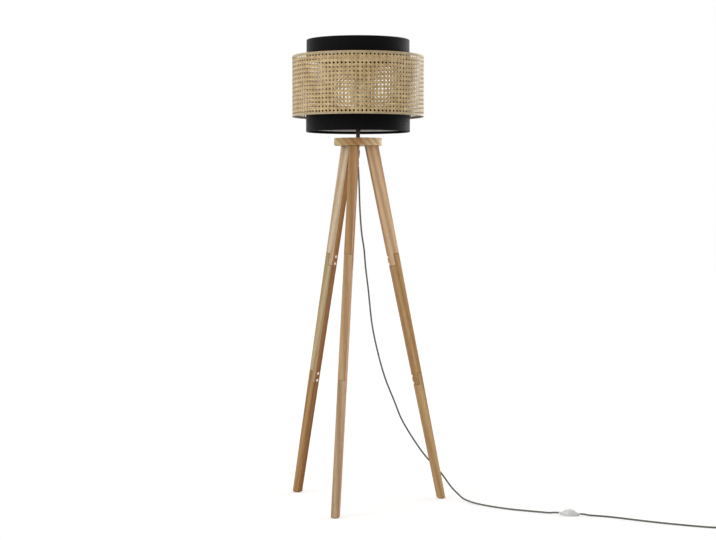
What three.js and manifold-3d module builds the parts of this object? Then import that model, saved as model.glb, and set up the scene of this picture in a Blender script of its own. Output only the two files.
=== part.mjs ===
// A tripod floor lamp: three half-lapped wooden legs under a round wooden hub, a drum shade of
// two black fabric bands inside an open ring of cane webbing, and a mains cord with a foot switch.
// Millimetres, +Z up. The floor is Z = 0 and the origin lies under the middle of the lamp's box.
import * as THREE from "three";
import { mergeVertices } from "three/addons/utils/BufferGeometryUtils.js";
import Module from "manifold-3d";

const wasm = await Module();
wasm.setup();

// Fits shared by all pieces
const seatGap = 0.3;
const cutOverrun = 2;

// Tripod
const legCount = 3;
const hubUndersideHeight = 1237.6;
const hubThickness = 25;
const hubDiameter = 165;
const hubEdgeEase = 2;
const legTopRadius = 48.5;
const footCircleRadius = 304.8;
const legThickness = 25.5;
const legDepthAtHub = 43.3;
const legDepthAtFloor = 24.8;
const legEdgeEase = 1.2;
const lapLength = 40;
const lapHeightShares = [0.34421, 0.68132];
const footPadDiameter = 23;
const footPadThickness = 2;

// Bolts through the laps, two in each, and the screws that hold the legs to the hub
const boltSpacing = 25;
const boltShankDiameter = 6;
const boltHeadDiameter = 10;
const boltHeadThickness = 2.2;
const boltBlindWall = 6;
const hubScrewShankDiameter = 5;
const hubScrewHeadDiameter = 10.5;
const hubScrewHeadDepth = 3.2;
const hubScrewLength = 60;

// Stem through the hub
const rodDiameter = 10;
const rodBoreDiameter = 7.4;
const rodBelowHub = 16;
const rodIntoHolder = 9;
const sleeveDiameter = 14;
const holderAboveShadeBottom = 27;
const nutAcrossFlats = 17;
const nutThickness = 6;
const nutFlangeDiameter = 24;
const nutFlangeThickness = 1.6;
const gripLength = 26;
const gripTopDiameter = 14;
const gripEndDiameter = 9.6;
const gripCollarLength = 8;

// Lampholder
const holderDiameter = 40;
const holderCapHeight = 22;
const holderWall = 1.6;
const holderFlangeDiameter = 47;
const holderFlangeThickness = 3.4;
const holderShellDiameter = 37.6;
const holderShellHeight = 34;
const holderBoreDiameter = 30;
const shadeNutDiameter = 52;
const shadeNutHeight = 9;
const contactBlockDiameter = 28.6;
const contactBlockHeight = 7;
const contactLeafLength = 15;
const contactLeafWidth = 6;
const contactLeafThickness = 0.8;

// Light bulb
const bulbCapDiameter = 26.4;
const bulbCapHeight = 25;
const bulbTipDiameter = 9;
const bulbTipHeight = 2.4;
const bulbGlobeDiameter = 60;
const bulbGlassHeight = 82;

// Shade
const shadeSegments = 40;
const shadeAboveHub = 21;
const shadeHeight = 316.4;
const upperBandGap = 50.1;
const upperBandHeight = 69;
const lowerBandGap = 48.3;
const lowerBandHeight = 70;
const bandFabricThickness = 0.6;
const bandLiningThickness = 0.6;
const bandHemHeight = 9.5;
const caneRingDiameter = 456;
const caneRingAboveShadeBottom = 51.4;
const caneRingBelowShadeTop = 57.4;
const webbingThickness = 1.6;
const webbingOpeningColumns = 20;
const webbingOpeningRows = 4;
const webbingOpenWidthShare = 0.5;
const webbingOpenHeightShare = 0.6;
const bindingHeight = 6.5;
const bindingThickness = 0.7;
const frameWireDiameter = 3;
const frameArmCount = 4;
const frameAngle = 14.2;
const frameRingThickness = 2;
const frameRingDiameter = 58;
const frameArmAboveLowerBand = 5;
const spokeRootOffset = 5;
const hoopSides = 4;

// Cord, foot switch and plug
const cordDiameter = 6;
const cordSides = 8;
const cordDropSteps = 78;
const cordRunSteps = 28;
const switchLength = 68;
const switchWidth = 38;
const switchBaseThickness = 5;
const switchCoverHeight = 12;
const switchCollarDiameter = 32;
const switchCollarHeight = 18;
const switchButtonDiameter = 24;
const switchButtonTop = 22.5;
const switchButtonTravel = 3;
const switchButtonSkirt = 5;
const switchWall = 2;
const switchBootDiameter = 9;
const switchBootLength = 5;
const switchCordHeight = 7.2;
const switchCoreDiameter = 18;
const switchTurn = -5;
const coilOuterRadius = 40;
const coilPitch = 6.6;
const coilTurns = 4.25;
const coilSides = 6;
const coilStepsPerTurn = 24;
const coilTailLength = 26;
const coilTailLevelShare = 0.3;
const tieWidth = 9;
const tieThickness = 0.8;
const tieSlack = 0.6;
const tieAngle = 135;
const plugWidth = 35.3;
const plugThickness = 13.7;
const plugBodyLength = 36;
const plugReliefLength = 24;
const plugReliefDiameter = 9.4;
const plugPinDiameter = 4;
const plugPinLength = 19;
const plugPinSpacing = 18.2;
const plugEdgeEase = 1.6;

// The way of the free cord, from the lamp's axis: down from the grip, out behind one leg to the
// floor, through the foot switch and on to the coil.
const cordDropRoute = [
  [0, 0, 1195],
  [0.8, 1, 1165],
  [3, 4, 1102],
  [5, 8, 1014],
  [10, 13, 934],
  [17, 18, 880],
  [21, 24, 818],
  [28, 33, 743],
  [39, 48, 613],
  [54, 70, 517],
  [73, 95, 429],
  [103, 120, 339],
  [124, 136, 278],
  [164, 155, 204],
  [203.5, 164, 147],
  [236, 165, 113],
  [264, 161, 85],
  [300, 146, 44],
  [330, 126, 21.5],
  [352, 106, 10],
  [376, 88, 5],
  [404, 63, 3.2],
  [429, 42.5, 3.2],
  [472.5, 13, 3.2],
  [543, -21, 3.2],
  [607, -38, 3.2],
  [646, -47, 3.2],
  [674, -59, 4.4],
];
const cordRunRoute = [
  [810, -72, 4.4],
  [836, -70, 3.2],
  [876, -78, 3.2],
  [907, -88.5, 3.2],
  [938, -101, 3.2],
  [985, -120, 3.2],
  [1040, -140, 3.2],
  [1100, -158, 3.2],
  [1160, -173, 3.2],
  [1215, -182.5, 3.2],
];
const switchCentre = [744, -70];
const coilCentre = [1278, -145];

// Sizes that follow from the ones above
const turn = 2 * Math.PI;
const legRise = hubUndersideHeight;
const legRun = footCircleRadius - legTopRadius;
const legSlope = Math.atan2(legRun, legRise);
const legLength = Math.hypot(legRun, legRise);
const footCutHeight = footPadThickness + seatGap;
const hubTopHeight = hubUndersideHeight + hubThickness;
const shadeBottomHeight = hubTopHeight + shadeAboveHub;
const shadeTopHeight = shadeBottomHeight + shadeHeight;
const holderBottomHeight = shadeBottomHeight + holderAboveShadeBottom;
const holderShellBottom = holderBottomHeight + holderCapHeight + seatGap;
const frameSeatHeight = holderShellBottom + holderFlangeThickness + seatGap;
const gripTopHeight = hubUndersideHeight - rodBelowHub - seatGap;
const gripEndHeight = gripTopHeight - gripLength;
const caneRingRadius = caneRingDiameter / 2;
const upperBandDiameter = caneRingDiameter - 2 * upperBandGap;
const lowerBandDiameter = caneRingDiameter - 2 * lowerBandGap;
const caneRingBottomHeight = shadeBottomHeight + caneRingAboveShadeBottom;
const caneRingTopHeight = shadeTopHeight - caneRingBelowShadeTop;
const upperBandBottomHeight = shadeTopHeight - upperBandHeight;
const lowerBandTopHeight = shadeBottomHeight + lowerBandHeight;
const cordRadius = cordDiameter / 2;

// Half the leg's depth, square to its centre line, at a distance along it from the floor.
function legHalfDepth(along) {
  return (legDepthAtFloor + ((legDepthAtHub - legDepthAtFloor) * along) / legLength) / 2;
}

// The distance along the leg at which one of its long edges meets a level height.
// side is 1 on the outward edge, -1 on the inward one and 0 on the centre line.
function alongAtHeight(height, side) {
  const taper = (legDepthAtHub - legDepthAtFloor) / (2 * legLength);
  const level = height - side * (legDepthAtFloor / 2) * Math.sin(legSlope);
  return level / (Math.cos(legSlope) + side * taper * Math.sin(legSlope));
}

const footReach =
  footCircleRadius -
  alongAtHeight(footCutHeight, 1) * Math.sin(legSlope) +
  legHalfDepth(alongAtHeight(footCutHeight, 1)) * Math.cos(legSlope);
const axisOffset = (footReach - caneRingRadius) / 2;

// Materials
function finish(color, roughness, metalness) {
  return () => new THREE.MeshStandardMaterial({ color, roughness, metalness });
}
const oak = finish(0xb08f68, 0.6, 0);
const blackFabric = finish(0x151517, 0.9, 0);
const whiteLining = finish(0xd9d8d5, 0.6, 0);
const cane = finish(0xc2a983, 0.65, 0);
const wire = finish(0xe6e6e4, 0.45, 0.2);
const bronze = finish(0x4a3426, 0.35, 0.8);
const steel = finish(0xb9bcc0, 0.35, 0.9);
const brass = finish(0xc9a24a, 0.35, 0.9);
const blackPlastic = finish(0x1c1c1e, 0.45, 0);
const ceramic = finish(0xeeeae0, 0.35, 0);
const frostedGlass = finish(0xf7f5ef, 0.35, 0);
const clearPlastic = finish(0xdfe0df, 0.25, 0);
const cordCloth = finish(0x8b867e, 0.9, 0);
const whitePlastic = finish(0xe9e8e4, 0.4, 0);
const felt = finish(0x3a3632, 0.95, 0);

const lamp = new THREE.Group();
lamp.position.y = axisOffset;

function addPiece(name, geometry, material, parent = lamp) {
  const piece = new THREE.Mesh(geometry, material());
  piece.name = name;
  parent.add(piece);
  return piece;
}

// Solids for cutting and joining
function solidOf(geometry) {
  const bare = geometry.clone();
  bare.deleteAttribute("normal");
  bare.deleteAttribute("uv");
  const merged = mergeVertices(bare);
  return new wasm.Manifold(
    new wasm.Mesh({
      numProp: 3,
      vertProperties: merged.attributes.position.array,
      triVerts: new Uint32Array(merged.index.array),
    }),
  );
}

function geometryOf(solid) {
  const cut = solid.getMesh();
  const geometry = new THREE.BufferGeometry();
  geometry.setAttribute("position", new THREE.BufferAttribute(cut.vertProperties, 3));
  geometry.setIndex(new THREE.BufferAttribute(cut.triVerts, 1));
  return geometry;
}

function joined(geometries) {
  return geometryOf(geometries.map(solidOf).reduce((whole, next) => whole.add(next)));
}

function cut(geometry, cutters) {
  return geometryOf(
    cutters.map(solidOf).reduce((rest, cutter) => rest.subtract(cutter), solidOf(geometry)),
  );
}

// A solid of revolution about the Z axis. The profile is radius and height, outer side upwards.
function turned(profile, segments) {
  const points = profile.map(([radius, height]) => new THREE.Vector2(radius, height));
  return new THREE.LatheGeometry(points, segments).rotateX(turn / 4);
}

function ring(profile, segments) {
  return turned([...profile, profile[0]], segments);
}

// A plain bar from one point to another.
function bar(from, to, radius, sides) {
  const start = new THREE.Vector3(...from);
  const end = new THREE.Vector3(...to);
  const way = end.clone().sub(start);
  const geometry = new THREE.CylinderGeometry(radius, radius, way.length(), sides);
  geometry.rotateX(turn / 4);
  geometry.translate(0, 0, way.length() / 2);
  const turnTo = new THREE.Quaternion().setFromUnitVectors(
    new THREE.Vector3(0, 0, 1),
    way.clone().normalize(),
  );
  return geometry.applyQuaternion(turnTo).translate(...from);
}

function roundOutline(radius, sides) {
  const shape = new THREE.Shape();
  for (let i = 0; i < sides; i++) {
    const angle = (i * turn) / sides;
    const place = [radius * Math.cos(angle), radius * Math.sin(angle)];
    if (i) shape.lineTo(...place);
    else shape.moveTo(...place);
  }
  shape.closePath();
  return shape;
}

function tube(curve, radius, sides, steps) {
  return new THREE.ExtrudeGeometry(roundOutline(radius, sides), {
    extrudePath: curve,
    steps,
    bevelEnabled: false,
  });
}

// Legs. A leg is drawn lying: x runs along its centre line from the floor and y points outwards.
const legSectionNames = ["lower", "middle", "upper"];
const lapMiddles = lapHeightShares.map((share) => share * legLength);

function legSectionOutline(index) {
  const lapBelow = lapMiddles[index - 1];
  const lapAbove = lapMiddles[index];
  const half = lapLength / 2;
  const outline = [];
  if (lapBelow === undefined) {
    const inward = alongAtHeight(footCutHeight, -1);
    const outward = alongAtHeight(footCutHeight, 1);
    outline.push([inward, -legHalfDepth(inward)], [outward, legHalfDepth(outward)]);
  } else {
    const tongue = lapBelow - half + seatGap / 2;
    const shoulder = lapBelow + half + seatGap / 2;
    outline.push([tongue, -legHalfDepth(tongue)], [tongue, -seatGap / 2]);
    outline.push([shoulder, -seatGap / 2], [shoulder, legHalfDepth(shoulder)]);
  }
  if (lapAbove === undefined) {
    const top = hubUndersideHeight - seatGap;
    const outward = alongAtHeight(top, 1);
    const inward = alongAtHeight(top, -1);
    outline.push([outward, legHalfDepth(outward)], [inward, -legHalfDepth(inward)]);
  } else {
    const tongue = lapAbove + half - seatGap / 2;
    const shoulder = lapAbove - half - seatGap / 2;
    outline.push([tongue, legHalfDepth(tongue)], [tongue, seatGap / 2]);
    outline.push([shoulder, seatGap / 2], [shoulder, -legHalfDepth(shoulder)]);
  }
  return outline;
}

function legSectionBody(index) {
  const shape = new THREE.Shape(
    legSectionOutline(index).map(([along, out]) => new THREE.Vector2(along, out)),
  );
  const body = new THREE.ExtrudeGeometry(shape, {
    depth: legThickness - 2 * legEdgeEase,
    bevelEnabled: true,
    bevelSegments: 1,
    bevelSize: legEdgeEase,
    bevelThickness: legEdgeEase,
    bevelOffset: -legEdgeEase,
  });
  return body.translate(0, 0, legEdgeEase - legThickness / 2);
}

const boltPlaces = lapMiddles.flatMap((middle) => [
  middle - boltSpacing / 2,
  middle + boltSpacing / 2,
]);
const boltHoleRadius = boltShankDiameter / 2 + seatGap;

function boltHole(along) {
  const blindEnd = legHalfDepth(along) - boltBlindWall;
  return bar(
    [along, -legHalfDepth(along) - cutOverrun, 0],
    [along, blindEnd, 0],
    boltHoleRadius,
    12,
  );
}

// The bolt's own shape, from the outer side of its head at zero to the shank's end.
function boltBody(along) {
  const headFace = legHalfDepth(along) + seatGap + boltHeadThickness;
  const length = headFace + legHalfDepth(along) - boltBlindWall - seatGap;
  const headRadius = boltHeadDiameter / 2;
  const shankRadius = boltShankDiameter / 2;
  const body = turned(
    [
      [0, 0],
      [headRadius - boltHeadThickness / 2, 0],
      [headRadius, boltHeadThickness / 2],
      [headRadius, boltHeadThickness],
      [shankRadius, boltHeadThickness],
      [shankRadius, length - shankRadius / 2],
      [shankRadius / 2, length],
      [0, length],
    ],
    10,
  );
  return body.rotateX(-turn / 4).translate(along, -headFace, 0);
}

// A lying leg stands up in a group at the foot, turned to face outwards along +X.
function legGroup(index) {
  const standing = new THREE.Group();
  standing.position.x = footCircleRadius;
  standing.rotation.set(turn / 4, 0, 0);
  const leaning = new THREE.Group();
  leaning.rotation.z = turn / 4 + legSlope;
  const mirrored = new THREE.Group();
  mirrored.rotation.x = turn / 2;
  leaning.add(mirrored);
  standing.add(leaning);
  const spoke = new THREE.Group();
  spoke.rotation.z = -turn / 4 + (index * turn) / legCount;
  spoke.add(standing);
  lamp.add(spoke);
  return { spoke, lying: mirrored };
}

const hubScrewHoleRadius = hubScrewShankDiameter / 2 + seatGap;
const hubScrewTop = hubTopHeight - seatGap;

function hubScrewHole() {
  const end = hubScrewTop - hubScrewLength - seatGap;
  const headRadius = hubScrewHeadDiameter / 2 + seatGap;
  return turned(
    [
      [0, end],
      [hubScrewHoleRadius, end],
      [hubScrewHoleRadius, hubTopHeight - hubScrewHeadDepth - seatGap],
      [headRadius, hubTopHeight - seatGap],
      [headRadius, hubTopHeight + cutOverrun],
      [0, hubTopHeight + cutOverrun],
    ],
    12,
  );
}

function hubScrewBody() {
  const shankRadius = hubScrewShankDiameter / 2;
  return turned(
    [
      [0, hubScrewTop - hubScrewLength],
      [shankRadius, hubScrewTop - hubScrewLength + 2 * shankRadius],
      [shankRadius, hubScrewTop - hubScrewHeadDepth],
      [hubScrewHeadDiameter / 2, hubScrewTop],
      [0, hubScrewTop],
    ],
    10,
  );
}

// The screw's hole as the lying leg sees it.
function holeInLyingLeg() {
  const hole = hubScrewHole();
  hole.translate(legTopRadius - footCircleRadius, 0, 0);
  hole.rotateX(-turn / 4);
  hole.rotateZ(-turn / 4 - legSlope);
  return hole.rotateX(-turn / 2);
}

for (let leg = 0; leg < legCount; leg++) {
  const { spoke, lying } = legGroup(leg);
  legSectionNames.forEach((sectionName, index) => {
    const holes = boltPlaces
      .slice(Math.max(2 * index - 2, 0), 2 * index + 2)
      .map((along) => boltHole(along));
    if (index === legSectionNames.length - 1) holes.push(holeInLyingLeg());
    const name = `leg_${leg + 1}_${sectionName}_section`;
    addPiece(name, cut(legSectionBody(index), holes), oak, lying);
  });
  boltPlaces.forEach((along, index) => {
    const lapName = index < 2 ? "lower" : "upper";
    const name = `leg_${leg + 1}_${lapName}_lap_bolt_${(index % 2) + 1}`;
    addPiece(name, boltBody(along), steel, lying);
  });
  const screw = addPiece(`hub_screw_${leg + 1}`, hubScrewBody(), steel, spoke);
  screw.position.x = legTopRadius;
  const pad = turned(
    [
      [0, 0],
      [footPadDiameter / 2 - footPadThickness / 2, 0],
      [footPadDiameter / 2, footPadThickness / 2],
      [footPadDiameter / 2, footPadThickness],
      [0, footPadThickness],
    ],
    16,
  );
  addPiece(`foot_pad_${leg + 1}`, pad, felt, spoke).position.x = footCircleRadius;
}

// Hub
const hubScrewHoles = Array.from({ length: legCount }, (_, leg) =>
  hubScrewHole()
    .translate(legTopRadius, 0, 0)
    .rotateZ(-turn / 4 + (leg * turn) / legCount),
);
const rodHoleRadius = rodDiameter / 2 + seatGap;
const hubRadius = hubDiameter / 2;
const hubBody = ring(
  [
    [rodHoleRadius, hubUndersideHeight],
    [hubRadius - hubEdgeEase, hubUndersideHeight],
    [hubRadius, hubUndersideHeight + hubEdgeEase],
    [hubRadius, hubTopHeight - hubEdgeEase],
    [hubRadius - hubEdgeEase, hubTopHeight],
    [rodHoleRadius, hubTopHeight],
  ],
  48,
);
addPiece("hub_disc", cut(hubBody, hubScrewHoles), oak);

// Stem: a threaded rod with a nut under the hub, a dark sleeve above it and a cord grip below
const rodTopHeight = holderBottomHeight + rodIntoHolder;
const rodBottomHeight = hubUndersideHeight - rodBelowHub;
addPiece(
  "threaded_rod",
  ring(
    [
      [rodBoreDiameter / 2, rodBottomHeight],
      [rodDiameter / 2, rodBottomHeight],
      [rodDiameter / 2, rodTopHeight],
      [rodBoreDiameter / 2, rodTopHeight],
    ],
    16,
  ),
  steel,
);
addPiece(
  "stem_sleeve",
  ring(
    [
      [rodHoleRadius, hubTopHeight + seatGap],
      [sleeveDiameter / 2, hubTopHeight + seatGap],
      [sleeveDiameter / 2, holderBottomHeight - seatGap],
      [rodHoleRadius, holderBottomHeight - seatGap],
    ],
    20,
  ),
  bronze,
);
const nutTop = hubUndersideHeight - seatGap;
const nutOuterRadius = nutAcrossFlats / 2 / Math.cos(turn / 12);
addPiece(
  "hub_nut",
  cut(
    joined([
      bar([0, 0, nutTop - nutThickness], [0, 0, nutTop], nutOuterRadius, 6),
      bar([0, 0, nutTop - nutFlangeThickness], [0, 0, nutTop], nutFlangeDiameter / 2, 20),
    ]),
    [bar([0, 0, nutTop - nutThickness - cutOverrun], [0, 0, nutTop + cutOverrun], rodHoleRadius, 16)],
  ),
  steel,
);
const cordHoleRadius = cordRadius + seatGap;
addPiece(
  "cord_grip",
  ring(
    [
      [cordHoleRadius, gripEndHeight],
      [gripEndDiameter / 2 - seatGap, gripEndHeight],
      [gripEndDiameter / 2, gripEndHeight + seatGap],
      [gripTopDiameter / 2, gripTopHeight - gripCollarLength],
      [gripTopDiameter / 2, gripTopHeight],
      [cordHoleRadius, gripTopHeight],
    ],
    16,
  ),
  blackPlastic,
);

// Lampholder
const holderRadius = holderDiameter / 2;
const holderCapTop = holderBottomHeight + holderCapHeight;
const holderNeckRadius = sleeveDiameter / 2 + holderWall;
const capShoulderHeight = holderBottomHeight + holderCapHeight / 3;
addPiece(
  "holder_cap",
  ring(
    [
      [rodHoleRadius, holderBottomHeight],
      [holderNeckRadius, holderBottomHeight],
      [holderRadius - holderWall, capShoulderHeight],
      [holderRadius, capShoulderHeight + holderWall],
      [holderRadius, holderCapTop],
      [holderRadius - holderWall, holderCapTop],
      [holderRadius - holderWall, capShoulderHeight + 2 * holderWall],
      [holderNeckRadius + holderWall, holderBottomHeight + 2 * holderWall],
      [rodHoleRadius, holderBottomHeight + 2 * holderWall],
    ],
    20,
  ),
  blackPlastic,
);
const shellFloor = holderShellBottom + holderWall;
const shellTop = holderShellBottom + holderShellHeight;
const shellRadius = holderShellDiameter / 2;
const shellFlangeTop = holderShellBottom + holderFlangeThickness;
addPiece(
  "holder_shell",
  ring(
    [
      [cordHoleRadius, holderShellBottom],
      [holderFlangeDiameter / 2, holderShellBottom],
      [holderFlangeDiameter / 2, shellFlangeTop],
      [shellRadius, shellFlangeTop],
      [shellRadius, shellTop],
      [holderBoreDiameter / 2, shellTop],
      [holderBoreDiameter / 2, shellFloor],
      [cordHoleRadius, shellFloor],
    ],
    20,
  ),
  blackPlastic,
);
const nutSeat = frameSeatHeight + frameRingThickness + seatGap;
addPiece(
  "shade_ring_nut",
  ring(
    [
      [shellRadius + seatGap, nutSeat],
      [shadeNutDiameter / 2, nutSeat],
      [shadeNutDiameter / 2, nutSeat + shadeNutHeight / 3],
      [shellRadius + holderWall, nutSeat + shadeNutHeight],
      [shellRadius + seatGap, nutSeat + shadeNutHeight],
    ],
    20,
  ),
  blackPlastic,
);
const blockBottom = shellFloor + seatGap;
const blockTop = blockBottom + contactBlockHeight;
addPiece(
  "contact_block",
  ring(
    [
      [cordHoleRadius, blockBottom],
      [contactBlockDiameter / 2, blockBottom],
      [contactBlockDiameter / 2, blockTop],
      [cordHoleRadius, blockTop],
    ],
    20,
  ),
  ceramic,
);
const leafBottom = blockTop + seatGap;
const leafTop = leafBottom + contactLeafThickness;
addPiece(
  "centre_contact",
  new THREE.BoxGeometry(contactLeafLength, contactLeafWidth, contactLeafThickness),
  brass,
).position.z = (leafBottom + leafTop) / 2;

// The lead inside the stem, from the grip's mouth up to the contact block
addPiece(
  "stem_lead",
  bar([0, 0, gripEndHeight], [0, 0, blockBottom + contactBlockHeight / 2], cordRadius, cordSides),
  cordCloth,
);

// Light bulb
const bulbTipBottom = leafTop + seatGap;
const bulbCapBottom = bulbTipBottom + bulbTipHeight;
const bulbCapTop = bulbCapBottom + bulbCapHeight;
const bulbCapRadius = bulbCapDiameter / 2;
addPiece(
  "bulb_cap",
  turned(
    [
      [0, bulbTipBottom],
      [bulbTipDiameter / 2, bulbTipBottom],
      [bulbTipDiameter / 2, bulbCapBottom],
      [bulbCapRadius - bulbTipHeight, bulbCapBottom],
      [bulbCapRadius, bulbCapBottom + bulbTipHeight],
      [bulbCapRadius, bulbCapTop],
      [0, bulbCapTop],
    ],
    20,
  ),
  steel,
);
const bulbGlassBottom = bulbCapTop + seatGap;
const bulbGlassShares = [
  [0, 0],
  [0.45, 0],
  [0.47, 0.12],
  [0.56, 0.24],
  [0.78, 0.38],
  [0.94, 0.5],
  [1, 0.63],
  [0.95, 0.77],
  [0.79, 0.89],
  [0.5, 0.97],
  [0, 1],
];
addPiece(
  "bulb_glass",
  turned(
    bulbGlassShares.map(([radiusShare, heightShare]) => [
      (radiusShare * bulbGlobeDiameter) / 2,
      bulbGlassBottom + heightShare * bulbGlassHeight,
    ]),
    20,
  ),
  frostedGlass,
);

// Shade, in a group turned so that the wires of its frame meet the corners of the round pieces
const shade = new THREE.Group();
shade.rotation.z = (frameAngle / 360) * turn;
lamp.add(shade);
const wireRadius = frameWireDiameter / 2;
const hemDepth = 2 * (bandFabricThickness + seatGap) + frameWireDiameter;
const strutLine =
  upperBandDiameter / 2 - bandFabricThickness - bandLiningThickness - 2 * seatGap - wireRadius;
const hoopInset = hemDepth / 2;
const caneBindingInner = caneRingRadius - frameWireDiameter - 2 * (bindingThickness + seatGap);
const caneHoopLine = (caneRingRadius + caneBindingInner) / 2;
const caneHoopInset = bindingThickness + seatGap + wireRadius;

const upperHoopLine = upperBandDiameter / 2 - hoopInset;
const lowerHoopLine = lowerBandDiameter / 2 - hoopInset;
const bandHoopPlaces = [
  [upperHoopLine, shadeTopHeight - hoopInset],
  [upperHoopLine, upperBandBottomHeight + hoopInset],
  [lowerHoopLine, lowerBandTopHeight - hoopInset],
  [lowerHoopLine, shadeBottomHeight + hoopInset],
];
const caneHoopPlaces = [
  [caneHoopLine, caneRingTopHeight - caneHoopInset],
  [caneHoopLine, caneRingBottomHeight + caneHoopInset],
];

// The bars that join the frame's hoops and its centre ring, at one of its arms.
function frameBars(index, radius) {
  const armStart = shadeNutDiameter / 2 + wireRadius + seatGap;
  const armMiddle = frameSeatHeight + frameRingThickness / 2;
  const upperHoop = upperBandBottomHeight + hoopInset;
  const lowerHoop = lowerBandTopHeight - hoopInset;
  const lugEnd = [armStart + wireRadius, 0, armMiddle];
  const bars = [
    bar([shellRadius + frameRingThickness, 0, armMiddle], lugEnd, frameRingThickness / 2, 6),
    bar([armStart, 0, armMiddle], [strutLine, 0, lowerBandTopHeight + frameArmAboveLowerBand], radius, 6),
    bar([strutLine, 0, shadeBottomHeight + hoopInset], [strutLine, 0, shadeTopHeight - hoopInset],
      radius, 6),
    bar([strutLine, 0, upperHoop - spokeRootOffset],
      [caneHoopLine, 0, caneRingTopHeight - caneHoopInset], radius, 6),
    bar([strutLine, 0, lowerHoop + spokeRootOffset],
      [caneHoopLine, 0, caneRingBottomHeight + caneHoopInset], radius, 6),
    ...bandHoopPlaces.map(([line, height]) =>
      bar([strutLine, 0, height], [line, 0, height], radius, 6),
    ),
  ];
  return bars.map((geometry) => geometry.rotateZ((index * turn) / frameArmCount));
}
const frameArms = Array.from({ length: frameArmCount }, (_, index) => index);
const frameClearance = frameArms.flatMap((index) => frameBars(index, wireRadius + seatGap));

function wireHoop(centreRadius, height) {
  const profile = Array.from({ length: hoopSides }, (_, i) => [
    centreRadius + wireRadius * Math.cos((i * turn) / hoopSides),
    height + wireRadius * Math.sin((i * turn) / hoopSides),
  ]);
  return ring(profile, shadeSegments);
}
const frameHoops = [...bandHoopPlaces, ...caneHoopPlaces].map(([radius, height]) =>
  wireHoop(radius, height),
);
const frameRing = ring(
  [
    [shellRadius + seatGap, frameSeatHeight],
    [frameRingDiameter / 2, frameSeatHeight],
    [frameRingDiameter / 2, frameSeatHeight + frameRingThickness],
    [shellRadius + seatGap, frameSeatHeight + frameRingThickness],
  ],
  32,
);
const frameWires = frameArms.flatMap((index) => frameBars(index, wireRadius));
addPiece("shade_frame", joined([frameRing, ...frameHoops, ...frameWires]), wire, shade);

// Bands. The fabric turns over a hoop at each edge and ends in a hem against the lining.
function bandFabric(outer, bottom, top) {
  const inner = outer - bandFabricThickness;
  const hemInner = outer - hemDepth;
  const hemOuter = hemInner + bandFabricThickness;
  return ring(
    [
      [outer, bottom],
      [outer, top],
      [hemInner, top],
      [hemInner, top - bandHemHeight],
      [hemOuter, top - bandHemHeight],
      [hemOuter, top - bandFabricThickness],
      [inner, top - bandFabricThickness],
      [inner, bottom + bandFabricThickness],
      [hemOuter, bottom + bandFabricThickness],
      [hemOuter, bottom + bandHemHeight],
      [hemInner, bottom + bandHemHeight],
      [hemInner, bottom],
    ],
    shadeSegments,
  );
}

function addBand(name, diameter, bottom, height) {
  const outer = diameter / 2;
  const top = bottom + height;
  const liningOuter = outer - bandFabricThickness - seatGap;
  const liningEnd = hemDepth + seatGap;
  const fabric = cut(bandFabric(outer, bottom, top), frameClearance);
  addPiece(`${name}_band_fabric`, fabric, blackFabric, shade);
  const lining = ring(
    [
      [liningOuter - bandLiningThickness, bottom + liningEnd],
      [liningOuter, bottom + liningEnd],
      [liningOuter, top - liningEnd],
      [liningOuter - bandLiningThickness, top - liningEnd],
    ],
    shadeSegments,
  );
  addPiece(`${name}_band_lining`, lining, whiteLining, shade);
}
addBand("upper", upperBandDiameter, upperBandBottomHeight, upperBandHeight);
addBand("lower", lowerBandDiameter, shadeBottomHeight, lowerBandHeight);

// Cane ring: webbing between two edges, each under a strip of cane folded over a hoop. The webbing
// is a thin wall with a plain grid of openings, whose columns lie midway between the frame's wires.
const webbingOuter = caneHoopLine + webbingThickness / 2;
const webbingInner = caneHoopLine - webbingThickness / 2;
const webbingInset = frameWireDiameter + 2 * seatGap + bindingThickness;
const webbingWall = ring(
  [
    [webbingInner, caneRingBottomHeight + webbingInset],
    [webbingOuter, caneRingBottomHeight + webbingInset],
    [webbingOuter, caneRingTopHeight - webbingInset],
    [webbingInner, caneRingTopHeight - webbingInset],
  ],
  shadeSegments,
);
const webbingOpenBottom = caneRingBottomHeight + bindingHeight;
const webbingOpenTop = caneRingTopHeight - bindingHeight;
const webbingRowPitch = (webbingOpenTop - webbingOpenBottom) / webbingOpeningRows;
const webbingColumnAngle = turn / webbingOpeningColumns;

function webbingOpening(column, row) {
  const opening = new THREE.BoxGeometry(
    4 * webbingThickness + 2 * cutOverrun,
    webbingOpenWidthShare * webbingColumnAngle * caneHoopLine,
    webbingOpenHeightShare * webbingRowPitch,
  );
  opening.translate(caneHoopLine, 0, webbingOpenBottom + (row + 0.5) * webbingRowPitch);
  return opening.rotateZ((column + 0.5) * webbingColumnAngle);
}
const webbingOpenings = Array.from(
  { length: webbingOpeningColumns * webbingOpeningRows },
  (_, i) => webbingOpening(i % webbingOpeningColumns, Math.floor(i / webbingOpeningColumns)),
);
addPiece("cane_webbing", cut(webbingWall, webbingOpenings), cane, shade);

// up is 1 for the strip on the top edge and -1 for the one on the bottom edge.
function binding(edgeHeight, up) {
  const profile = [
    [caneRingRadius - bindingThickness, bindingHeight],
    [caneRingRadius, bindingHeight],
    [caneRingRadius, 0],
    [caneBindingInner, 0],
    [caneBindingInner, bindingHeight],
    [caneBindingInner + bindingThickness, bindingHeight],
    [caneBindingInner + bindingThickness, bindingThickness],
    [caneRingRadius - bindingThickness, bindingThickness],
  ].map(([radius, depth]) => [radius, edgeHeight - up * depth]);
  if (up < 0) profile.reverse();
  return cut(ring(profile, shadeSegments), frameClearance);
}
addPiece("cane_top_binding", binding(caneRingTopHeight, 1), cane, shade);
addPiece("cane_bottom_binding", binding(caneRingBottomHeight, -1), cane, shade);

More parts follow.
